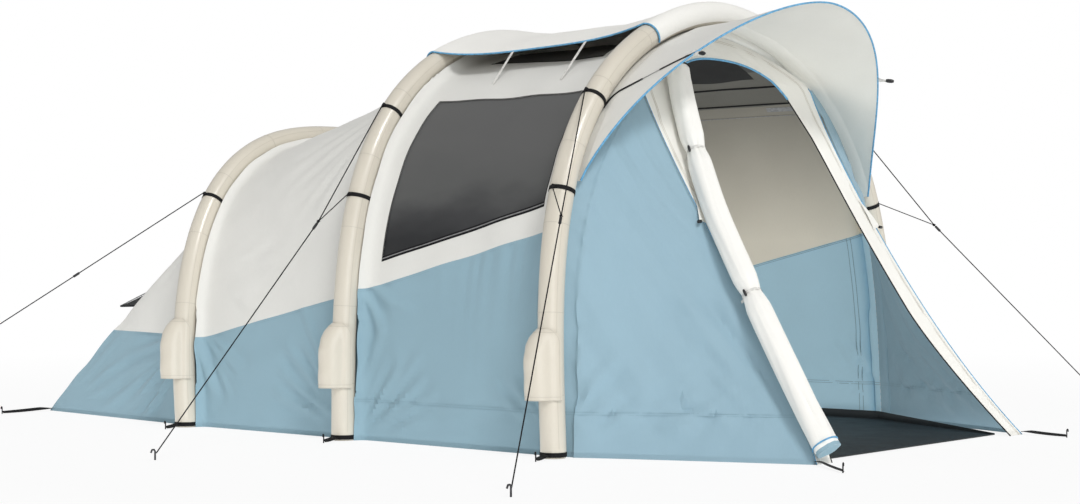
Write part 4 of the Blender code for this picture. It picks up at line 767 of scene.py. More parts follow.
def make_valve_hoods():
    """Hoods that fold round the beam, wider on the near side, with a hem and a seam."""
    turn = math.radians(VALVE_TURN)
    out = np.array([-math.cos(turn), math.sin(turn), 0.0])
    side = np.array([-out[1], out[0], 0.0])
    half = math.radians(FLAP_HALF_ANGLE)
    bases = Bundle("valve_bases", PLASTIC, "valve_black")
    for name, arch in BEAMS.items():
        rows, centres = [], []
        for share in np.linspace(0, 1, 41):
            z = FLAP_TOP_Z + (FLAP_BOTTOM_Z - FLAP_TOP_Z) * share
            middle, along, _ = arch.frame(arch.share_at(z))
            low = math.radians(FLAP_HALF_ANGLE - 22 * max(0, 1 - share / 0.08))
            high = math.radians(FLAP_NEAR_ANGLE - 40 * max(0, 1 - share / 0.20) ** 2)
            turns = np.linspace(-low, high, 49)
            rays = spokes(turns, out, side)
            slices = BEAM_RADIUS / np.sqrt(1 - (rays @ along) ** 2)
            across = np.cos(np.clip(turns / half, -1, 1) * math.pi / 2) ** 2
            bulge = FLAP_BULGE * np.interp(share, *zip(*FLAP_PROFILE)) * across
            lift = 0.0045 * np.clip((turns - math.radians(FLAP_HALF_ANGLE - 14)) / 0.4, 0, 1)
            pucker = 0.0012 * np.sin(share * 17 + turns * 3) * across
            row = middle + (slices + FLAP_SEAT + FLAP_SHEET + bulge + lift + pucker)[:, None] * rays
            row[:, 2] = z
            rows.append(row)
            centres.append([middle[0], middle[1], z])
        grid = np.array(rows)
        inner = np.array(centres)[:, None]
        body = f"{name}_valve_hood_body"
        skin(
            f"{name}_valve_flap", grid, [(BEAM_CLOTH, BEAM_CLOTH)], inner, thick=FLAP_SHEET * 0.8, body=body,
            replaces=[f"{name}_valve_hood"], slot="hood_cream",
        )
        seams = Bundle(f"{name}_valve_flap_seams", SEAM_CREAM, "hood_cream")
        spoke = units(grid - inner)
        for place in (2, -3, (EVERY, 2), (EVERY, -3)):
            seams.add(band(grid[place] + spoke[place] * HEM_LIFT, spoke[place], HEM_WIDTH, HEM_THICK))
        seams.add(tube(grid[-1] - spoke[-1] * 0.001 + [0, 0, 0.001], 0.0024, 8))
        seams.finish_up(body=body)
        valve = arch.points(arch.share_at(VALVE_Z))
        bases.add(tube([valve + out * (BEAM_RADIUS + reach) for reach in (-0.004, 0.003, 0.006)], 0.024, 24))
    bases.finish_up()


# Flysheet

def bay_grid(first, second, rows, columns, inset=FLY_INSET):
    rows, across = np.asarray(rows, float), np.atleast_2d(np.asarray(columns, float))[..., None]
    gap = np.array([0, JOINT_GAP, 0])
    a = first.points(rows[:, 0], inset)[:, None] + gap
    b = second.points(rows[:, 1], inset)[:, None] - gap
    grid = a * (1 - across) + b * across
    height = np.minimum(1, grid[..., 2:3] / SEAM_FRONT_Z)
    sag = FLY_SAG * 4 * across * (1 - across) * height
    pull = units(np.array([0.0, 0.0, SEAM_FRONT_Z]) - grid * [1, 0, 1])
    return grid + pull * sag


def hugging(grid, arch, shares, pull=BAY_HUG):
    """The grid with its cloth risen beside a tube, as the sewn tunnel pulls it."""
    out = units(arch.points(shares) - arch.points(shares, 0.05))[:, None]
    away = np.abs(grid[..., 1] - arch.y_at(grid[..., 2]))
    radius = np.interp(grid[..., 2], HUG_HEIGHTS, HUG_RADII)
    top = FLY_INSET - HUG_LEVEL
    under = np.clip(FLY_INSET - np.sqrt(np.maximum(0, radius ** 2 - away ** 2)), 0, top)
    beside = top * np.exp(-np.maximum(0, away - radius) / pull[1])
    return grid + out * (np.where(away < radius, under, beside) * pull[0])[..., None]


def bay_rows(first, second, stops, ridge_rows):
    """Rows over a bay, as shares of both beams, and the numbers of the rows at the stops' heights."""
    rows, marks = [(0.0, 0.0)], []
    for stop in (*stops, (None, None, ridge_rows)):
        places = [0.5 if z is None else arch.share_at(z, FLY_INSET) for arch, z in zip((first, second), stop)]
        runs = [arch.spread(low, high, stop[2]) for arch, low, high in zip((first, second), rows[-1], places)]
        rows += list(zip(*runs))
        marks.append(len(rows) - 1)
    return np.array(rows + [(1 - a, 1 - b) for a, b in reversed(rows[:-1])]), marks[:-1]


HUG_STEPS = np.array([0, 0.03, 0.045, 0.0545, 0.0585, 0.061, 0.065, 0.069, 0.072, 0.076, 0.082, 0.090, 0.102])
BAY_ENDS = HUG_STEPS / FRONT_BAY
BAY_COLUMNS = np.r_[
    BAY_ENDS, np.linspace(BAY_ENDS[-1], WINDOW_START, 4)[1:], np.linspace(WINDOW_START, VENT_START, 9)[1:],
    np.linspace(VENT_START, VENT_END, 45)[1:], np.linspace(VENT_END, WINDOW_END, 4)[1:],
    np.linspace(WINDOW_END, 1 - BAY_ENDS[-1], 5)[1:], 1 - BAY_ENDS[-2::-1],
]
INSIDE = (0, (FRONT_Y + MIDDLE_Y) / 2, SEAM_FRONT_Z)


def column_of(share):
    return nearest(BAY_COLUMNS, share)


def foot_tones(grid, seam):
    """Tones of a sheet's cells: 1 below the seams of both sides, 0 above."""
    tones = np.zeros((len(grid) - 1, grid.shape[1] - 1), int)
    tones[:seam] = tones[len(tones) - seam:] = 1
    return tones


def make_front_fly():
    """Grey and blue bay with the window and the roof vent left open."""
    rows, (seam, sill, head, vent) = bay_rows(FRONT, MIDDLE, (
        (SEAM_FRONT_Z, SEAM_MIDDLE_Z, 44), (WINDOW_FRONT_Z, WINDOW_MIDDLE_Z, 5), (WINDOW_TOP_Z, WINDOW_TOP_Z, 26),
        (VENT_FRONT_Z, VENT_MIDDLE_Z, 12),
    ), 18)
    last = len(rows) - 1
    number = np.arange(len(rows))
    low = np.clip(1 - (number - sill) / (head - sill), 0, 1) * np.minimum(1, number / sill)
    shift = np.interp(BAY_COLUMNS, [VENT_END, WINDOW_END, 1.0], [0, 1, 0])
    smooth = bay_grid(FRONT, MIDDLE, rows, BAY_COLUMNS + WINDOW_LEAN * low[:, None] * shift)
    grid = gathered(creased(smooth, INSIDE, 3, 0.0035), smooth, seam)
    grid = pleated(grid, INSIDE, FRONT_BAY_FANS, 71, FRONT_BAY_FOLDS)
    grid = hugging(hugging(grid, FRONT, rows[:, 0]), MIDDLE, rows[:, 1])
    tones = foot_tones(grid, seam)
    holes = np.zeros(tones.shape, bool)
    holes[sill:head, column_of(WINDOW_START):column_of(WINDOW_END)] = True
    holes[vent:last - vent, column_of(VENT_START):column_of(VENT_END)] = True
    height = grid[:-1, :, 2].min(1)
    # Painted shade: cells high in the roof take the darker linings.
    tones[height > ROOF_LINING_Z] = 2
    tones[height > DARK_LINING_Z] = 3
    # Painted light: the cells ahead of the leaning front, under the visor, take the visor's lighter lining.
    ahead = (grid[..., 1] < face_y(grid[..., 2]) + VISOR_LINING_OVER) & (grid[..., 2] > TIP_Z)
    tones[ahead[:-1, :-1]] = 4
    linings = (LINING, BLUE_LINING, ROOF_LINING, DARK_LINING, VISOR_LINING)
    pairs = [(BLUE_CLOTH if lining is BLUE_LINING else GREY_CLOTH, lining) for lining in linings]
    skin(
        "front_bay_cloth", grid, pairs, INSIDE, tones, holes, flat_ends=(0, -1), rests_on=("front_beam", "middle_beam"),
        replaces=["front_fly"], slot="fly_grey",
    )
    for row in (seam, last - seam):
        colour_seam(*surface_line(grid, INSIDE, row))
    for side in (-1, 1):
        double_seam(BLUE_SEAMS, *line_at(grid, INSIDE, FOOT_SEAM_Z, side=side))
    inside_details(grid, seam)
    window_panel(grid, sill, head)
    net_panel(grid, vent, last - vent)


def pleated(grid, inside, fans, seed, strength):
    """The grid with soft folds that fan out, in side view, from where the cloth is pulled."""
    total = np.zeros(grid.shape[:2])
    for number, side in enumerate((-1, 1)):
        random = np.random.default_rng(seed + number)
        half = np.zeros(grid.shape[:2])
        for y, z, low, high, near, far, count, height in fans:
            for k in range(count):
                angle = math.radians(low + (high - low) * (k + random.uniform(0.2, 0.8)) / count)
                start, end = near + random.uniform(0, 0.3) * (far - near), far * random.uniform(0.65, 1.0)
                cosine, sine = math.cos(angle), math.sin(angle)
                along = (grid[..., 1] - y) * cosine + (grid[..., 2] - z) * sine - start
                across = (grid[..., 2] - z) * cosine - (grid[..., 1] - y) * sine
                run = np.clip(along / (end - start), 0, 1)
                across = across + random.uniform(-0.10, 0.10) * (end - start) * run * (1 - run)
                width = 0.014 + 0.022 * run
                shape = np.exp(-(across / width) ** 2) - 0.55 * np.exp(-(across / (2.3 * width)) ** 2)
                half += height * random.uniform(0.6, 1.2) * shape * np.sin(run * math.pi) ** 0.7
        total += half * (np.sign(grid[..., 0]) == side)
    from_side = from_sides(grid_uv(grid)[..., 0])
    fade = np.clip(grid[..., 2] / 0.06, 0, 1) * np.clip(from_side / 0.07, 0, 1) * strength
    return grid - grid_normals(grid, inside) * (total * fade)[..., None]


def gathered(grid, smooth, seam):
    """Short upright puckers that hang from the colour seam near the front beam."""
    drop = np.clip(smooth[seam, :, 2] - smooth[..., 2], 0, 1)
    along = smooth[..., 1] - FRONT_Y
    fade = np.clip(drop / 0.03, 0, 1) * np.exp(-drop / 0.22) * np.exp(-((along - 0.38) / 0.28) ** 2)
    fold = np.sin(along * 2 * math.pi / 0.085 + 1.1 * np.sin(along * 23)) * 0.0055
    return grid + grid_normals(smooth, INSIDE) * (fold * fade * (smooth[..., 0] < 0))[..., None]


def inside_details(grid, seam):
    """Tapes and seams seen through the doorway on the far wall and roof."""
    every, patch = range(2, len(BAY_COLUMNS) - 2), range(16, 27)
    for z, columns, depth, width, thick, bundle in (
        (1.738, every, 0.0015, 0.014, 0.0010, ZIPS), (1.660, every, 0.0015, 0.010, 0.0010, ZIPS),
        (1.603, every, 0.0015, 0.004, 0.0010, GREY_TAPES), (1.632, patch, 0.0010, 0.030, 0.0008, GREY_TAPES),
    ):
        line, normal = line_at(grid, INSIDE, z, columns, 1)
        bundle.add(band(line - normal * (SHEET + depth), -normal, width, thick))
    count = len(grid)
    for rows in (slice(1, seam + 1), slice(count - 2, count - seam - 2, -1)):
        line, normal = surface_line(grid, INSIDE, rows, column_of(0.097))
        double_seam(BLUE_SEAMS, line, normal, 0.022, 0.0028)
        edge = grid[rows, 0] * 0.985 + grid[rows, 1] * 0.015
        dashed(edge - normal * (SHEET + 0.001), -normal)


def panel_behind(fly, first, last, left, right):
    """The grid of a sheet just inside the fly, lapped round an opening."""
    return (fly + grid_normals(fly, INSIDE) * PANEL_DEPTH)[first - 1:last + 2, left - 1:right + 2]


def black_rim(fly, width, *place):
    line, normal = surface_line(fly, INSIDE, *place)
    ZIPS.add(band(line + normal * HEM_LIFT, normal, width, 0.0010))


def window_panel(fly, first, last):
    """Tinted window behind its opening, with a border and a double zip along its sill."""
    left, right = column_of(WINDOW_START), column_of(WINDOW_END)
    skin(
        "window_pane", panel_behind(fly, first, last, left, right), [(FOIL, LINING)], INSIDE,
        thick=WINDOW_SHEET, rests_on=("front_fly",), replaces=["side_window"], slot="window_foil",
    )
    rows, columns = slice(first, last + 1), slice(left, right + 1)
    sill, normal = surface_line(fly, INSIDE, first, columns)
    up = units(fly[first + 1, columns] - sill)
    for rise, width, bundle in ((0.004, 0.0060, ZIPS), (0.0135, 0.0035, GREY_TAPES), (0.021, 0.0050, ZIPS)):
        bundle.add(band(sill + up * rise + normal * 0.0004, normal, width, 0.0012))
    for place in ((last, columns), (rows, left), (rows, right)):
        black_rim(fly, 0.0035, *place)


def net_panel(fly, first, last):
    """Mesh of the roof vent, behind its opening."""
    left, right = column_of(VENT_START), column_of(VENT_END)
    skin(
        "roof_vent_net", panel_behind(fly, first, last, left, right), [(NET_CLOTH, MESH_CLOTH)], INSIDE,
        thick=NET_SHEET, rests_on=("front_fly",), replaces=["roof_vent_mesh"], slot="vent_mesh",
    )
    for row in (first, last):
        black_rim(fly, 0.012, row, slice(left, right + 1))


def make_middle_fly():
    """Grey and blue bay between the middle and the rear beam."""
    rows, (seam,) = bay_rows(MIDDLE, REAR, ((SEAM_MIDDLE_Z, SEAM_REAR_Z, 30),), 62)
    inside = (0, (MIDDLE_Y + REAR_Y) / 2, SEAM_MIDDLE_Z)
    ends = HUG_STEPS / (REAR_Y - MIDDLE_Y)
    columns = np.r_[ends, np.linspace(ends[-1], 1 - ends[-1], 50)[1:], 1 - ends[-2::-1]]
    grid = creased(bay_grid(MIDDLE, REAR, rows, columns), inside, 5, 0.0026)
    grid = pleated(grid, inside, MIDDLE_BAY_FANS, 73, MIDDLE_BAY_FOLDS)
    grid = hugging(hugging(grid, MIDDLE, rows[:, 0]), REAR, rows[:, 1])
    skin(
        "middle_bay_cloth", grid, GREY_AND_BLUE, inside, foot_tones(grid, seam), flat_ends=(0, -1),
        rests_on=("middle_beam", "rear_beam"), replaces=["middle_fly"], slot="fly_grey",
    )
    for row in (seam, len(grid) - 1 - seam):
        colour_seam(*surface_line(grid, inside, row))


def rear_base(share, ridge):
    """The point on the ground that a place on the rear beam is joined to."""
    foot = REAR.points(0.0, FLY_INSET)
    start = np.array([foot[0], REAR_Y + BEAM_RADIUS / 2, 0.0])
    corner = np.array([-REAR_CORNER_X, BACK_Y, 0.0])
    near = min(share, 1 - share)
    side = -1 if share <= 0.5 else 1
    if near <= ridge:
        point = start + (corner - start) * near / ridge
    else:
        point = corner * [1 - (near - ridge) / (0.5 - ridge), 1, 1]
    return np.array([point[0] * -side, point[1], point[2]])


def rear_wall_point(share, drop, ridge):
    top = REAR.points(share, FLY_INSET) + [0, JOINT_GAP, 0]
    base = rear_base(share, ridge)
    crease = math.exp(-((min(share, 1 - share) - ridge) / CREASE_WIDTH) ** 2)
    sag = REAR_WALL_SAG * (1 - crease) - CREASE_RISE * crease
    sag *= 4 * drop * (1 - drop) * min(1, top[2] / CREASE_Z)
    pull = unit(np.array([0, REAR_Y, 0]) - top * [0.6, 0.4, 0.2] - base * [0.4, 0.6, 0.1])
    return top * (1 - drop) + base * drop + pull * sag


def clear_of_hood(grid):
    """How far the wall may fold: not at all where the lowered vent hood comes to rest."""
    beside = np.clip((np.abs(grid[..., 0]) - HOOD_HALF_WIDTH - 0.02) / 0.12, 0, 1)
    above = np.clip((grid[..., 2] - HOOD_HINGE[1] - 0.02) / 0.10, 0, 1)
    below = np.clip((HOOD_HINGE[1] - HOOD_LENGTH - grid[..., 2]) / 0.10, 0, 1)
    return np.maximum(beside, np.maximum(above, below))


def make_rear_fly():
    """Sloping rear wall, creased from the top down to both hem corners."""
    seam, ridge = REAR.share_at(SEAM_REAR_Z, FLY_INSET), REAR.share_at(CREASE_Z, FLY_INSET)
    low, split = 20, 34
    half = [*np.linspace(0, seam, low + 1), *REAR.spread(seam, ridge, 26), *REAR.spread(ridge, 0.5, 28)]
    inside = (0, REAR_Y, SEAM_BACK_Z)
    rows = []
    for share in half + [1 - share for share in reversed(half[:-1])]:
        top = REAR.points(share, FLY_INSET)[2]
        mark = max(1 - SEAM_BACK_Z / top if top > SEAM_BACK_Z * 1.02 else 0.02, 0.02)
        drops = [*np.linspace(0, mark, split + 1), *np.linspace(mark, 1, 30)[1:]]
        rows.append([rear_wall_point(share, drop, ridge) for drop in drops])
    flat = np.array(rows)
    grid = pleated(creased(flat, inside, 8, 0.0030), inside, REAR_FANS, 75, REAR_FOLDS)
    grid = flat + (grid - flat) * clear_of_hood(flat)[..., None]
    tones = foot_tones(grid, low)
    tones[:, split:] = 1
    skin(
        "rear_wall_cloth", grid, GREY_AND_BLUE, inside, tones, flat_ends=(0,), rests_on=("rear_beam",),
        replaces=["rear_fly"], slot="fly_grey",
    )
    colour_seam(*surface_line(grid, inside, slice(low, len(grid) - low), split))


# Leaning front

def tip():
    """Where the leaning front leaves the front beam, as its share of the beam and its height."""
    half = FRONT.SAMPLES // 2 + 1
    x = (FRONT.x + UNDER_FLY * FRONT.in_x)[:half]
    top = int(np.argmin(x))
    share = float(np.interp(-NECK_X, x[top:], FRONT.share[top:half]))
    return share, float(FRONT.points(share, UNDER_FLY)[2])


TIP_SHARE, TIP_Z = tip()
TIP_Y = float(FRONT.y_at(TIP_Z))


def face_y(z):
    """The place of the leaning front along the tent, at a height."""
    z = np.asarray(z, float)
    below = np.maximum(0, 1 - z / TIP_Z) ** FRONT_BOW
    return np.where(z < TIP_Z, TIP_Y - (FRONT_REACH + TIP_Y - FRONT_Y) * below, TIP_Y + TOP_LEAN * (z - TIP_Z))


def frame_edge_x(z):
    """Half the door frame's outer width at a height."""
    return NECK_X + (FRONT_CORNER_X - NECK_X) * np.maximum(0, 1 - np.asarray(z) / NECK_Z) ** FRAME_FLARE


def door_x(z):
    """Half the doorway's width at a height."""
    if z < DOOR_WAIST_Z:
        return DOOR_WAIST_X + (DOOR_BASE_X - DOOR_WAIST_X) * (1 - z / DOOR_WAIST_Z) ** DOOR_FLARE
    rise = (z - DOOR_WAIST_Z) / (DOOR_HEIGHT - DOOR_WAIST_Z)
    return DOOR_WAIST_X * max(0, 1 - rise ** DOOR_POWERS[1]) ** (1 / DOOR_POWERS[0])


def roof_line_point(share):
    """The point where the leaning front's plane meets the roof, found in small steps."""
    point = FRONT.points(share, UNDER_FLY)
    for _ in range(12):
        run = max(0.0, float(face_y(point[2])) - FRONT_Y) / FRONT_BAY
        point = bay_grid(FRONT, MIDDLE, [(share, share)], [run], UNDER_FLY + 0.0005)[0, 0]
    return point


def door_inner_line():
    """Left half of the doorway's edge, from the ground to the top, as x and z."""
    low = [(-door_x(z), z) for z in np.linspace(0, FRAME_SPLIT_Z, 40)]
    turns = np.radians(np.linspace(37, 90, 40))
    x = DOOR_WAIST_X * np.abs(np.cos(turns)) ** (2 / DOOR_POWERS[0])
    z = DOOR_WAIST_Z + (DOOR_HEIGHT - DOOR_WAIST_Z) * np.sin(turns) ** (2 / DOOR_POWERS[1])
    high = np.stack([-x, z], -1)[z > FRAME_SPLIT_Z + 0.01]
    return np.concatenate([low, high])


def make_door_frame():
    """White band round the doorway, with its trim, zip and hem."""
    inner = door_inner_line()
    sides = [[-frame_edge_x(z), float(face_y(z)), z] for z in np.linspace(0, TIP_Z - TIP_MARGIN, 60)]
    top = [roof_line_point(share) for share in np.linspace(TIP_SHARE, 0.5, 24)[1:]]
    line = np.array(sides + top)
    low = inner[:, 1] <= FRAME_SPLIT_Z
    outer = [(-frame_edge_x(z), z) for z in inner[low, 1]]
    rest = line[line[:, 2] > FRAME_SPLIT_Z]
    ends = resampled(rest, np.linspace(0, 1, (~low).sum() + 1)[1:])
    outer = np.array(outer + [(x, z) for x, _, z in ends])
    parts = np.linspace(0, 1, 9)[None, :, None]
    half = outer[:, None] * (1 - parts) + inner[:, None] * parts
    half = np.stack([half[..., 0], face_y(half[..., 1]), half[..., 1]], -1)
    other = half[::-1][1:] * [-1, 1, 1]
    inside = (0, MIDDLE_Y, DOOR_WAIST_Z)
    grid = creased(np.concatenate([half, other]), inside, 21, 0.0016, 0.1, 0.4, 0.05)
    skin(
        "door_frame_cloth", grid, [(FRAME_CLOTH, LINING)], inside, rests_on=("front_beam",), replaces=["door_frame"],
        slot="frame_white",
    )
    edge, normal = surface_line(grid, inside, EVERY, -1)
    split = int(np.argmax(edge[:, 2] > DOOR_HEIGHT - 0.10))
    over = len(edge) - int(np.argmax(edge[::-1, 2] > 1.62))
    TRIMS.add(tube(edge[split:over] + normal[split:over] * 0.002, DOOR_TRIM, 8))
    for line in (edge[over - 1:], edge[:split + 1]):
        ZIPS.add(tube(line, DOOR_ZIP, 8))
    outer, lift = surface_line(grid, inside, EVERY, 0)
    middle, seam = len(grid) // 2, 0.22
    for side, rows in ((-1, slice(0, middle)), (1, slice(middle, len(grid)))):
        line = outer[(outer[:, 2] < TIP_Z) & (np.sign(outer[:, 0]) == side)]
        TRIMS.add(tube(line - [0, 0.002, 0], FRAME_TRIM, 6))
        line = grid[rows, 0] * (1 - seam) + grid[rows, -1] * seam
        double_seam(CREAM_SEAMS, line, lift[rows], 0.010, 0.0020, False)
    for name, side in SIDES:
        pennant(name, side)


def pennant(name, side):
    """Loose corner of the frame's facing, with the toggle that holds the rolled door."""
    corners = np.array([(0.712, 1.140), (0.775, 1.010), (0.700, 0.990)])
    steps = np.linspace(0, 1, 7)
    down, across = steps[:, None, None], steps[None, :, None]
    left, right = (corners[0] * (1 - down) + corner * down for corner in corners[1:])
    flat = left * (1 - across) + right * across + [0.0004, 0] * (1 - across)
    flat[0, :, 0] += np.linspace(0.004, -0.004, 7)
    curl = 0.006 + 0.006 * np.sin(steps * math.pi)[:, None]
    grid = np.stack([flat[..., 0] * side, face_y(flat[..., 1]) - curl, flat[..., 1]], -1)
    skin(
        f"frame_pennant_{name}", grid, [(FRAME_CLOTH, FRAME_CLOTH)], (0, 3.0, 1.0),
        thick=PENNANT_SHEET, rests_on=("door_frame",), held="hung", slot="frame_white",
    )
    end = grid[-1, 0] + [0.004 * side, -0.003, -0.006]
    TOGGLES.add(tube([end + [0.010 * side * k, 0, -0.001 * k] for k in range(-1, 2)], 0.0075, 10))


def make_front_sides():
    """Blue panels between the front beam and the door frame."""
    rows = np.array([0.0, *FRONT.spread(0.0, TIP_SHARE - TIP_MARGIN / FRONT.length, 90)])
    root = FRONT.points(rows, UNDER_FLY) - [0, JOINT_GAP, 0]
    clearance = np.array([-1.0, 0.7, 0.0]) * 0.003
    edge = np.array([[-frame_edge_x(z), float(face_y(z)), z] for z in root[:, 2]]) + clearance
    across = np.r_[HUG_STEPS, np.linspace(HUG_STEPS[-1], 1, 44)[1:]][None, :, None]
    left = hugging(root[:, None] * (1 - across) + edge[:, None] * across, FRONT, rows, PANEL_HUG)
    inside = (0, FRONT_Y, DOOR_WAIST_Z)
    for number, (name, side) in enumerate(SIDES):
        grid = front_folds(left * [-side, 1, 1], inside, 31 + number)
        grid = pleated(grid, inside, FRONT_FANS, 77, PANEL_FOLDS)
        skin(
            f"front_panel_{name}", grid, [(FRONT_BLUE, SHADED_LINING)], inside, rests_on=("front_beam",),
            replaces=[f"front_side_{name}"], slot="fly_blue",
        )
        line, normal = surface_line(grid, inside, EVERY, -1)
        BLUE_SEAMS.add(band(line + normal * 0.0016, normal, 0.004, 0.0010))
        double_seam(BLUE_SEAMS, *line_at(grid, inside, FOOT_SEAM_Z))


def front_folds(grid, inside, seed):
    """Slack diagonal creases that run from the frame's neck down to the beam's foot."""
    uv = grid_uv(grid)
    u, v = uv[..., 0], uv[..., 1]
    fade = np.clip(from_sides(u) / 0.12, 0, 1) * np.clip(v / 0.15, 0, 1) * np.clip((v.max() - v) / 0.3, 0, 1)
    fold = np.sin((u * 0.85 + v * 0.52) * 2 * math.pi / 0.19 + 1.3 * np.sin(v * 5.0)) ** 3 * 0.0065
    fold = fold + ripple(u, v, seed, 0.14, 0.6) * 0.0040
    return grid + grid_normals(grid, inside) * (fold * fade)[..., None]


def make_visor():
    """Visor over the door, with a tab, a toggle and a stay on each side."""
    low = FRONT.share_at(VISOR_LOW_Z, FLY_INSET)
    shares = np.array([low, *FRONT.spread(low, 1 - low, 120)])
    root = FRONT.points(shares, FLY_INSET)
    inward = FRONT.points(shares, FLY_INSET + VISOR_RISE) - root
    reach = VISOR_REACH * np.maximum(0.02, 1 - (root[:, 0] / VISOR_HALF_WIDTH) ** 2)[:, None, None]
    out = (np.r_[HUG_STEPS, np.linspace(HUG_STEPS[-1], VISOR_REACH, 24)[1:]] / VISOR_REACH)[None, :, None]
    forward = np.array([0, 1.0, 0]) * (JOINT_GAP + reach * out)
    grid = root[:, None] - inward[:, None] * [1, 0, 1] * (reach / VISOR_REACH * out) ** 1.3 - forward
    inside = (0, FRONT_Y, 1.0)
    grid = hugging(creased(grid, inside, 41, 0.0030, 0.15, 0.5, 0.08), FRONT, shares, VISOR_HUG)
    skin(
        "visor_cloth", grid, [(GREY_CLOTH, VISOR_LINING)], inside, flat_ends=(0,), rests_on=("front_beam",),
        replaces=["visor"], slot="fly_grey",
    )
    line = grid[:, -1]
    TRIMS.add(tube(line, VISOR_TRIM, 8))
    for _, side in SIDES:
        place = nearest(line[:, 0], VISOR_TAB_X * side)
        start = line[place]
        ahead = unit(line[place + 1] - line[place - 1])
        outward = unit(start - grid[place, -3])
        outward = unit(outward - ahead * outward.dot(ahead))
        lift = np.cross(ahead, outward)
        tab = [start + outward * away - lift * 0.003 * (away < 0) for away in (-0.045, -0.012, 0.022, 0.042)]
        WHITE_TAPES.add(band(tab, lift, (0.050, 0.040, 0.020, 0.014), 0.0022))
        toggle = [start + outward * (0.040 + 0.010 * k) for k in range(5)]
        TOGGLES.add(tube(toggle, [0.007, 0.0095, 0.0100, 0.0095, 0.006], 12))
        stay_strap(grid, shares, place, side)


def stay_strap(grid, shares, place, side):
    """Webbing from the upper ring over the visor to its tab, with a grey adjuster loop."""
    begin = nearest(shares, FRONT.share_on(UPPER_RING_Z, side))
    normal = -grid_normals(grid, (0, FRONT_Y, 1.0))
    along = np.linspace(0, 1, 40)
    rows = begin + (place - begin) * along
    columns = 4 + (grid.shape[1] - 5) * along
    low, part = np.floor(rows).astype(int), (rows % 1)[:, None]
    left = np.minimum(np.floor(columns).astype(int), grid.shape[1] - 2)
    share = (columns - left)[:, None]

    def at(field):
        first = field[low, left] * (1 - share) + field[low, left + 1] * share
        second = field[low + 1, left] * (1 - share) + field[low + 1, left + 1] * share
        return first * (1 - part) + second * part

    line, lift = at(grid), units(at(normal))
    for first, last, width, bundle in ((0, 23, 0.015, ZIPS), (22, 29, 0.005, GREY_TAPES), (28, 40, 0.015, ZIPS)):
        bundle.add(band((line + lift * WEB_THICK)[first:last], lift[first:last], width, WEB_THICK))


# Roof vent cover

def cover_share(run):
    """Where the roof cover's side edge lies, as a share of the arch between the beams."""
    front, middle = (arch.share[nearest(arch.x, -x)] for arch, x in ((FRONT, COVER_FRONT_X), (MIDDLE, COVER_MIDDLE_X)))
    return front * (1 - run) + middle * run + COVER_WAIST * 4 * run * (1 - run)


def wrapped(arch, share, turn):
    """A point of the roof cover where it lies on a beam."""
    middle, along, out = arch.frame(share)
    side = np.cross(along, out)
    side *= math.copysign(1.0, side[1])
    return middle + COVER_RADIUS * (math.cos(turn) * out + math.sin(turn) * side)


def cover_point(part, run):
    edge = cover_share(run)
    share = edge + (1 - 2 * edge) * part
    first, second = wrapped(FRONT, share, 0), wrapped(MIDDLE, share, 0)
    sag = COVER_SAG * (1 - abs(2 * run - 1) ** COVER_SAG_POWER)
    return first * (1 - run) + second * run - [0, 0, sag]


def make_vent_cover():
    """White cover that is wrapped round both beams, and its four straps."""
    ahead, behind = (np.radians(np.linspace(wrap, 0, 16)) for wrap in COVER_WRAPS)
    runs = np.linspace(0, 1, 26)
    rows = []
    for part in np.linspace(0, 1, 49):
        ends = [cover_share(run) + (1 - 2 * cover_share(run)) * part for run in (0, 1)]
        column = [wrapped(FRONT, ends[0], -turn) for turn in ahead]
        column += [cover_point(part, run) for run in runs[1:-1]]
        column += [wrapped(MIDDLE, ends[1], turn) for turn in behind[::-1]]
        rows.append(column)
    inside = (0, (FRONT_Y + MIDDLE_Y) / 2, 0.5)
    grid = creased(np.array(rows), inside, 51, 0.0024, 0.15, 0.6, 0.10)
    skin(
        "roof_cover_cloth", grid, [(WHITE_CLOTH, COVER_LINING)], inside, rests_on=("front_beam", "middle_beam"),
        replaces=["roof_vent_cover"], slot="cover_white",
    )
    for line in (grid[0], grid[-1], grid[:, -1]):
        TRIMS.add(tube(line, COVER_TRIM, 8))
    pair = (FRONT.share_at(COVER_STRAP_Z), MIDDLE.share_at(COVER_STRAP_Z))
    for _, side in SIDES:
        for run in COVER_STRAP_RUNS:
            edge = cover_point(0.0, run) * [-side, 1, 1]
            foot = bay_grid(FRONT, MIDDLE, [pair], [run], FLY_INSET - 0.002)[0, 0] * [-side, 1, 1]
            foot = foot + [0, COVER_STRAP_LEAN, 0]
            strap = [edge, edge * 0.5 + foot * 0.5, foot]
            WHITE_TAPES.add(band(strap, [side * 0.7, 0.0, 0.7], COVER_STRAP_WIDTH, 0.0012))


# Rear vent hood, rolled door and groundsheet

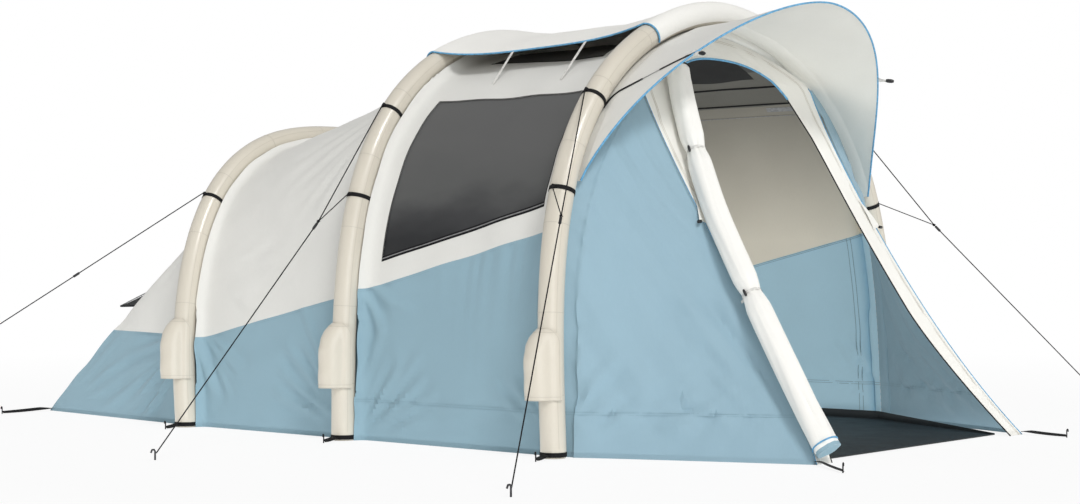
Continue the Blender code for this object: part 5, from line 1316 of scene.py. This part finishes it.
def make_rear_hood():
    """Net hood with a spreader rod in its hem."""
    body = "rear_vent_hood_body"
    hinge = np.array([0.0, *HOOD_HINGE])
    slope = math.radians(HOOD_SLOPE)
    out = np.array([0.0, math.cos(slope), -math.sin(slope)])
    up = np.array([0.0, math.sin(slope), math.cos(slope)])
    across = np.linspace(-HOOD_HALF_WIDTH, HOOD_HALF_WIDTH, 61)
    down = np.linspace(0.002, HOOD_LENGTH - HOOD_ROD_RADIUS, 16)
    grid = hinge + across[:, None, None] * [1, 0, 0] + down[None, :, None] * out
    dip = 0.004 * np.sin(across * 9.0)[:, None] * np.sin(down / HOOD_LENGTH * math.pi)[None]
    skin(
        "rear_hood_net", grid + dip[..., None] * up, [(MESH_CLOTH, MESH_CLOTH)], hinge - up,
        thick=HOOD_SHEET, rests_on=("rear_fly",), body=body, replaces=["rear_vent_hood"], slot="vent_mesh",
    )
    places = np.linspace(-HOOD_HALF_WIDTH, HOOD_HALF_WIDTH, 25)
    rod = tube([hinge + out * down[-1] + [x, 0, 0] for x in places], HOOD_ROD_RADIUS, 12)
    add_mesh("rear_hood_rod", *rod, [PLASTIC], body=body, slot="valve_black")
    hems = Bundle("rear_hood_hems", GREY_WEB, "webbing_black")
    for x in (-HOOD_HALF_WIDTH, 0.0, HOOD_HALF_WIDTH):
        edge = [hinge + [x * 0.995, 0, 0] + out * d + up * 0.0028 for d in down]
        hems.add(band(edge, up, 0.012, 0.0012))
    hems.finish_up(body=body)


def make_door_roll():
    """Door cloth wound up on itself, with two ties and its blue end."""
    places, levels = zip(ROLL_BOTTOM, ROLL_MIDDLE, ROLL_TOP)
    heights = np.linspace(ROLL_FOOT_Z, levels[-1], 130)
    pinch = np.min([np.abs(heights - tie) for tie in ROLL_TIES], axis=0)
    size = ROLL_RADIUS * (ROLL_PINCH + (1 - ROLL_PINCH) * np.minimum(1, pinch / 0.06) ** 0.6)
    sharp = np.stack([-np.interp(heights, levels, places), face_y(heights), heights], -1)
    path = np.array([sharp[max(0, k - 6):k + 7].mean(0) for k in range(len(sharp))])
    path[:6], path[-6:] = sharp[:6], sharp[-6:]
    along = units(np.gradient(path, axis=0))
    forward = np.cross(along, [1.0, 0.0, 0.0])
    forward = units(forward * np.sign(-forward[:, 1:2]))
    side = np.cross(along, forward)
    middle = path + forward * (ROLL_RADIUS + ROLL_STANDOFF)
    turns = round_turn(ROLL_SIDES, False)
    v = heights[:, None] * 1.2
    folds = 1 - 0.08 * (0.5 + 0.5 * np.sin(turns * 5 + 2.5 * np.sin(v * 3.0) + v * 4)) ** 2
    folds = folds - 0.065 * np.exp(-((turns - 2.2 - 0.4 * np.sin(v * 2)) / 0.10) ** 2)
    folds = folds - 0.055 * np.exp(-((turns - 4.1 + 0.3 * np.sin(v * 3)) / 0.09) ** 2)
    near = np.exp(-(pinch / 0.05) ** 2)[:, None]
    folds = folds - near * 0.09 * (0.5 + 0.5 * np.cos(turns * 11))
    loops = middle[:, None] + spokes(turns, side[:, None], forward[:, None]) * (size[:, None] * folds)[..., None]
    rims = []
    for end, sign in ((0, 1), (-1, -1)):
        centre = middle[end]
        rims.append([centre + (loops[end] - centre) * share + along[end] * sign * depth for share, depth in (
            (0.25, 0.014), (0.50, 0.010), (0.75, 0.005), (0.93, 0.0005),
        )])
    loops = np.concatenate([rims[0], loops, rims[1][::-1]])
    loops[..., 2] = np.maximum(loops[..., 2], 0.0012)
    count = len(loops)
    faces = tube_faces(ROLL_SIDES, count)
    tones = [int(max(face) < 6 * ROLL_SIDES) for face in faces]
    uv = np.stack([np.tile(turns * ROLL_RADIUS, count), np.repeat(np.linspace(0, 2, count), ROLL_SIDES)], -1)
    add_mesh(
        "door_roll_cloth", loops.reshape(-1, 3), faces, [WHITE_CLOTH, BLUE_CLOTH], tones, uv,
        replaces=["door_roll"], slot="frame_white",
    )
    foot = middle[2] + spokes(round_turn(41), side[2], forward[2]) * (size[2] * 1.01)
    foot[:, 2] = np.maximum(foot[:, 2], 0.004)
    TRIMS.add(tube(foot, ROLL_TRIM, 6))
    ZIPS.add(tube(middle[-1] + spokes(round_turn(41), side[-1], forward[-1]) * size[-1], ROLL_ZIP, 6))
    for tie in ROLL_TIES:
        k = nearest(heights, tie)
        radial = spokes(round_turn(41), side[k], forward[k])
        WHITE_TAPES.add(band(middle[k] + radial * size[k], radial, TIE_WIDTH, WEB_THICK))
        toggle = [middle[k] - side[k] * (size[k] + 0.006) + along[k] * d for d in np.linspace(-0.016, 0.016, 5)]
        TOGGLES.add(tube(toggle, [0.004, 0.006, 0.0065, 0.006, 0.004], 12))
        strap = [path[k] + forward[k] * 0.001, (path[k] + middle[k]) / 2, middle[k]]
        WHITE_TAPES.add(band(strap, side[k], TIE_WIDTH, WEB_THICK))


def make_groundsheet():
    """Tray floor with raised edges and the soft creases of laid cloth."""
    half = [(TRAY_FRONT_X, TRAY_FRONT_Y, TRAY_LIP)]
    for arch, more in ((FRONT, 0.0157), (MIDDLE, 0), (REAR, 0)):
        half.append((-arch.points(0.0)[0] - TRAY_INSET - more, arch.y, TRAY_HEIGHT))
    half.append((REAR_CORNER_X - 0.0314, BACK_Y - 0.0471, TRAY_HEIGHT))
    x, y, z = np.array(half).T
    rows = np.unique(np.r_[np.linspace(y[0], y[-1], 90), y])
    height = np.interp(rows, y, z)[:, None, None]
    across = np.linspace(-1, 1, 61)
    width = np.interp(rows, y, x)[:, None] * across
    floor = np.stack([width, rows[:, None] + 0 * width, np.full(width.shape, TRAY_SHEET - 0.0006)], -1)
    from_edge = np.minimum(1 - np.abs(across), np.minimum(rows - rows[0], rows[-1] - rows)[:, None])
    fade = np.clip(from_edge / 0.12, 0, 1)
    floor[..., 2] += (ripple(floor[..., 0], floor[..., 1], 61, 0.25, 0.9) + 1.6) * 0.0016 * fade
    up = np.array([0, 0, 1])
    wall = [floor[:, :1] + up * height * share for share in (1.0, 0.6, 0.2)]
    other = [floor[:, -1:] + up * height * share for share in (0.2, 0.6, 1.0)]
    grid = np.concatenate([*wall, floor, *other], 1)

    def end(row, shift, rise):
        return row * [1, 1, 0] + [0, shift, 0] + up * np.maximum(row[..., 2:], rise)

    back = [end(grid[-1:], shift, rise) for shift, rise in ((0.001, 0.012), (0.002, 0.026), (0.003, TRAY_HEIGHT))]
    grid = np.concatenate([end(grid[:1], -0.001, TRAY_LIP), grid, *back])
    skin(
        "groundsheet_cloth", grid, [(FLOOR_CLOTH, FLOOR_CLOTH)], (0, 0, -5.0), thick=FLOOR_SHEET,
        rests_on=("tent_body",), held="laid", replaces=["groundsheet"], slot="floor_navy",
    )


def refinish(node, finish):
    """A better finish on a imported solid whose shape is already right."""
    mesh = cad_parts[node].data
    mesh.materials.clear()
    mesh.materials.append(finish)


# Webbing

def wrap_band(bundle, middle, first, second, width):
    """A band of webbing once round a beam."""
    radial = spokes(round_turn(41), first, second)
    bundle.add(band(middle + radial * (BEAM_RADIUS + WEB_LIFT), radial, width, WEB_THICK))


def make_rings():
    for beam, heights in RINGS.items():
        arch = BEAMS[beam]
        for level, height in heights.items():
            for name, side in SIDES:
                middle, along, out = arch.frame(arch.share_on(height, side))
                other = np.cross(along, out)
                bundle = black_web(f"{beam}_{level}_band_{name}")
                wrap_band(bundle, middle, out, other, RING_WIDTH)
                turns = np.linspace(0, math.pi, 9)
                facing = spokes(turns, other, out)
                loop = middle + out * (BEAM_RADIUS + 0.002) + spokes(turns, other * 0.008, out * 0.0125)
                bundle.add(band(loop, facing, 0.013, 0.0014))
                bundle.finish_up(replaces=[f"{beam}_{level}_ring_{name}"])


def ground_strap(name, start, direction, reach, first_z, replaced, wrap=None):
    """Webbing from the hem down to a hooked stake, and once round the beam's foot where it starts from one."""
    bundle = black_web(name)
    direction = unit(direction)
    side = np.array([-direction[1], direction[0], 0.0])
    if wrap is not None:
        wrap_band(bundle, wrap, direction, side, STRAP_WIDTH)
    steps = np.linspace(0, 1, 14)
    stake = reach - 0.012
    twist = STRAP_TWIST * np.clip(steps / 0.25, 0, 1)
    line = start + direction * (steps * stake)[:, None]
    line[:, 2] = first_z * (1 - steps) ** 2 + 0.002 + STRAP_WIDTH / 2 * np.sin(twist)
    facing = spokes(twist, np.array([0, 0, 1.0]), side)
    bundle.add(band(line, facing, STRAP_WIDTH * (1 - 0.25 * steps ** 4), 0.0030))
    post = (start + direction * (stake + 0.004)) * [1, 1, 0]
    bundle.add(tube([post + direction * out + [0, 0, z] for out, z in STAKE_HOOK], 0.0030, 8))
    bundle.finish_up(replaces=[replaced])


def make_foot_straps():
    turn = math.radians(FOOT_TAB_TURN)
    for beam, arch in BEAMS.items():
        for name, side in SIDES:
            direction = np.array([math.cos(turn) * side, -math.sin(turn), 0.0])
            middle = arch.points(1.0) * [side, 1, 1]
            ground_strap(
                f"{beam}_foot_band_{name}", middle + direction * (BEAM_RADIUS + 0.001), direction, FOOT_TAB, 0.012,
                f"{beam}_foot_strap_{name}", middle + [0, 0, 0.016],
            )


def make_corner_straps():
    front = np.array([FRONT_CORNER_X, FRONT_Y - FRONT_REACH - 0.002, 0.0])
    rear = np.array([REAR_CORNER_X + 0.005, BACK_Y - STRAP_WIDTH, 0.0])
    for name, side in SIDES:
        run = np.array([CORNER_STRAP_OUT[name], -CORNER_STRAP, 0.0])
        lean = abs(run[0]) / np.linalg.norm(run)
        length = (CORNER_STRAP - 0.006 * lean) / math.sqrt(1 - lean ** 2)
        for end, corner, direction, reach in (
            ("front", front, run, length), ("rear", rear, np.array([1.0, 0, 0]), REAR_CORNER_STRAP),
        ):
            ground_strap(
                f"{end}_corner_web_{name}", corner * [side, 1, 1], direction * [side, 1, 1], reach, 0.010,
                f"{end}_corner_strap_{name}",
            )


# Guy lines

def straight_run(start, end, count):
    steps = np.linspace(0, 1, count)[:, None]
    return np.asarray(start) * (1 - steps) + np.asarray(end) * steps


def add_rope(name, points, radius, **more):
    curve = bpy.data.curves.new(name, "CURVE")
    curve.dimensions = "3D"
    curve.bevel_depth, curve.bevel_resolution, curve.use_fill_caps = radius, 3, True
    line = curve.splines.new("POLY")
    line.points.add(len(points) - 1)
    for target, point in zip(line.points, points):
        target.co = (*point, 1.0)
    line.use_smooth = True
    return add_object(name, curve, [ROPE], slot="rope_black", **more)


def knot_mesh(name, place, axis):
    """A small overhand knot where a branch joins its line."""
    axis = unit(axis)
    side = unit(np.cross(axis, [0.3, 0.1, 1.0]))
    up = np.cross(axis, side)
    t = round_turn(61)[:, None]
    path = place + 0.0042 * ((np.sin(t) + 2 * np.sin(2 * t)) * side * 0.5 + (np.cos(t) - 2 * np.cos(2 * t)) * up * 0.5)
    return add_mesh(name, *tube(path - axis * np.sin(3 * t) * 0.0038, STRAND_RADIUS, 8), [ROPE], slot="rope_black")


def make_guy_lines():
    for side_name, side in SIDES:
        for beam, arch in BEAMS.items():
            peg = np.array([PEGS[beam][0] * side, arch.y + PEGS[beam][1], 0.0])
            hold = peg + [0, 0, ROPE_ON_PEG_Z]
            tips = {}
            for level, height in RINGS[beam].items():
                middle, _, out = arch.frame(arch.share_on(height, side))
                tips[level] = middle + out * LUG_REACH
            if beam == "rear":
                knot = tips["upper"] + (hold - tips["upper"]) * REAR_RUNNER_SHARE
            else:
                x, y, z = FRONT_KNOTS[side_name] if beam == "front" else MIDDLE_KNOT
                knot = np.array([x * side, arch.y + y, z])
            heading = unit(hold - knot)
            end = hold - heading * (PEG_RADIUS + 0.0026) / math.hypot(heading[0], heading[1])
            line = np.concatenate([straight_run(tips["upper"], knot, 14), straight_run(knot, end, 18)[1:]])
            rope = add_rope(
                f"{beam}_rope_{side_name}", line, GUY_RADIUS, replaces=[f"{beam}_guy_line_{side_name}"],
            )
            runner, stake = f"{beam}_guy_runner_{side_name}", f"{beam}_guy_peg_{side_name}"
            if "lower" in tips:
                knot_mesh(f"{beam}_knot_{side_name}", knot, heading)
            if "lower" in tips:
                line = straight_run(tips["lower"], knot, 12)
                rope = add_rope(f"{beam}_branch_{side_name}", line, BRANCH_RADIUS)
            refinish(runner, PLASTIC)
            refinish(stake, STEEL)


# Stage

def set_up(name, data, place, towards):
    """An object in the scene that looks along a direction."""
    made = bpy.data.objects.new(name, data)
    made.location = place
    made.rotation_mode = "QUATERNION"
    made.rotation_quaternion = Vector(towards).to_track_quat("-Z", "Y")
    bpy.context.scene.collection.objects.link(made)
    return made


def looking(turn, rise):
    """The direction that looks turned from +Y and up by degrees."""
    turn, rise = math.radians(turn), math.radians(rise)
    return Vector((math.sin(turn) * math.cos(rise), math.cos(turn) * math.cos(rise), math.sin(rise)))


def make_stage():
    scene = bpy.context.scene
    scene.view_settings.view_transform = "Standard"
    camera = bpy.data.cameras.new("camera")
    camera.lens, camera.sensor_width, camera.clip_end = CAMERA_LENS, 36.0, 200.0
    scene.camera = set_up("camera", camera, CAMERA_PLACE, looking(CAMERA_YAW, CAMERA_PITCH))

    white = (1, 1, 1, 1)
    sky = Nodes(bpy.data.worlds.new("studio"), "Background")
    scene.world = sky.dress(Color=white, Strength=SKY_LEVEL)
    seen = sky.add("LightPath").outputs["Is Camera Ray"]
    sky.end_mixed("World Output", seen, sky.add("Background", white, 1.0))

    for name, (turn, rise, strength, size) in SUNS.items():
        lamp = bpy.data.lights.new(name, "SUN")
        lamp.energy, lamp.angle = strength, math.radians(size)
        set_up(name, lamp, (0, 0, 0), looking(-turn, -rise))
    for name, (place, towards, size, level) in LAMPS.items():
        lamp = bpy.data.lights.new(name, "AREA")
        lamp.shape, lamp.size, lamp.energy = "SQUARE", size, level * math.pi * size ** 2
        set_up(name, lamp, place, towards).visible_camera = False

    ground = material("studio_floor", [FLOOR_GREY] * 3, 0.9)
    away = ground.add("VectorMath", ground.coords("Object"), operation="LENGTH").outputs["Value"]
    path = ground.add("LightPath").outputs
    seen = ground.maths("MAXIMUM", path["Is Camera Ray"], path["Is Glossy Ray"])
    share = ground.maths("MULTIPLY", seen, ground.span(away, *FLOOR_GLOW))
    ground.end_mixed("Material Output", share, ground.add("Emission", white))
    mesh = bpy.data.meshes.new("studio_floor")
    corners = [(x * FLOOR_REACH, y * FLOOR_REACH, FLOOR_Z) for x, y in ((-1, -1), (1, -1), (1, 1), (-1, 1))]
    mesh.from_pydata(corners, [], [(0, 1, 2, 3)])
    mesh.materials.append(ground.owner)
    floor = bpy.data.objects.new("studio_floor", mesh)
    scene.collection.objects.link(floor)


def main():
    for make in (
        make_stage, make_guy_lines, make_beams, make_valve_hoods, make_front_fly, make_middle_fly, make_rear_fly,
        make_door_frame, make_front_sides, make_visor, make_vent_cover, make_rear_hood, make_door_roll,
        make_groundsheet, make_rings, make_foot_straps, make_corner_straps,
    ):
        make()
    for beam in BEAMS:
        refinish(f"{beam}_valve_cap", PLASTIC)
    for bundle in BUNDLES:
        bundle.finish_up()


main()
bpy.context.view_layer.update()
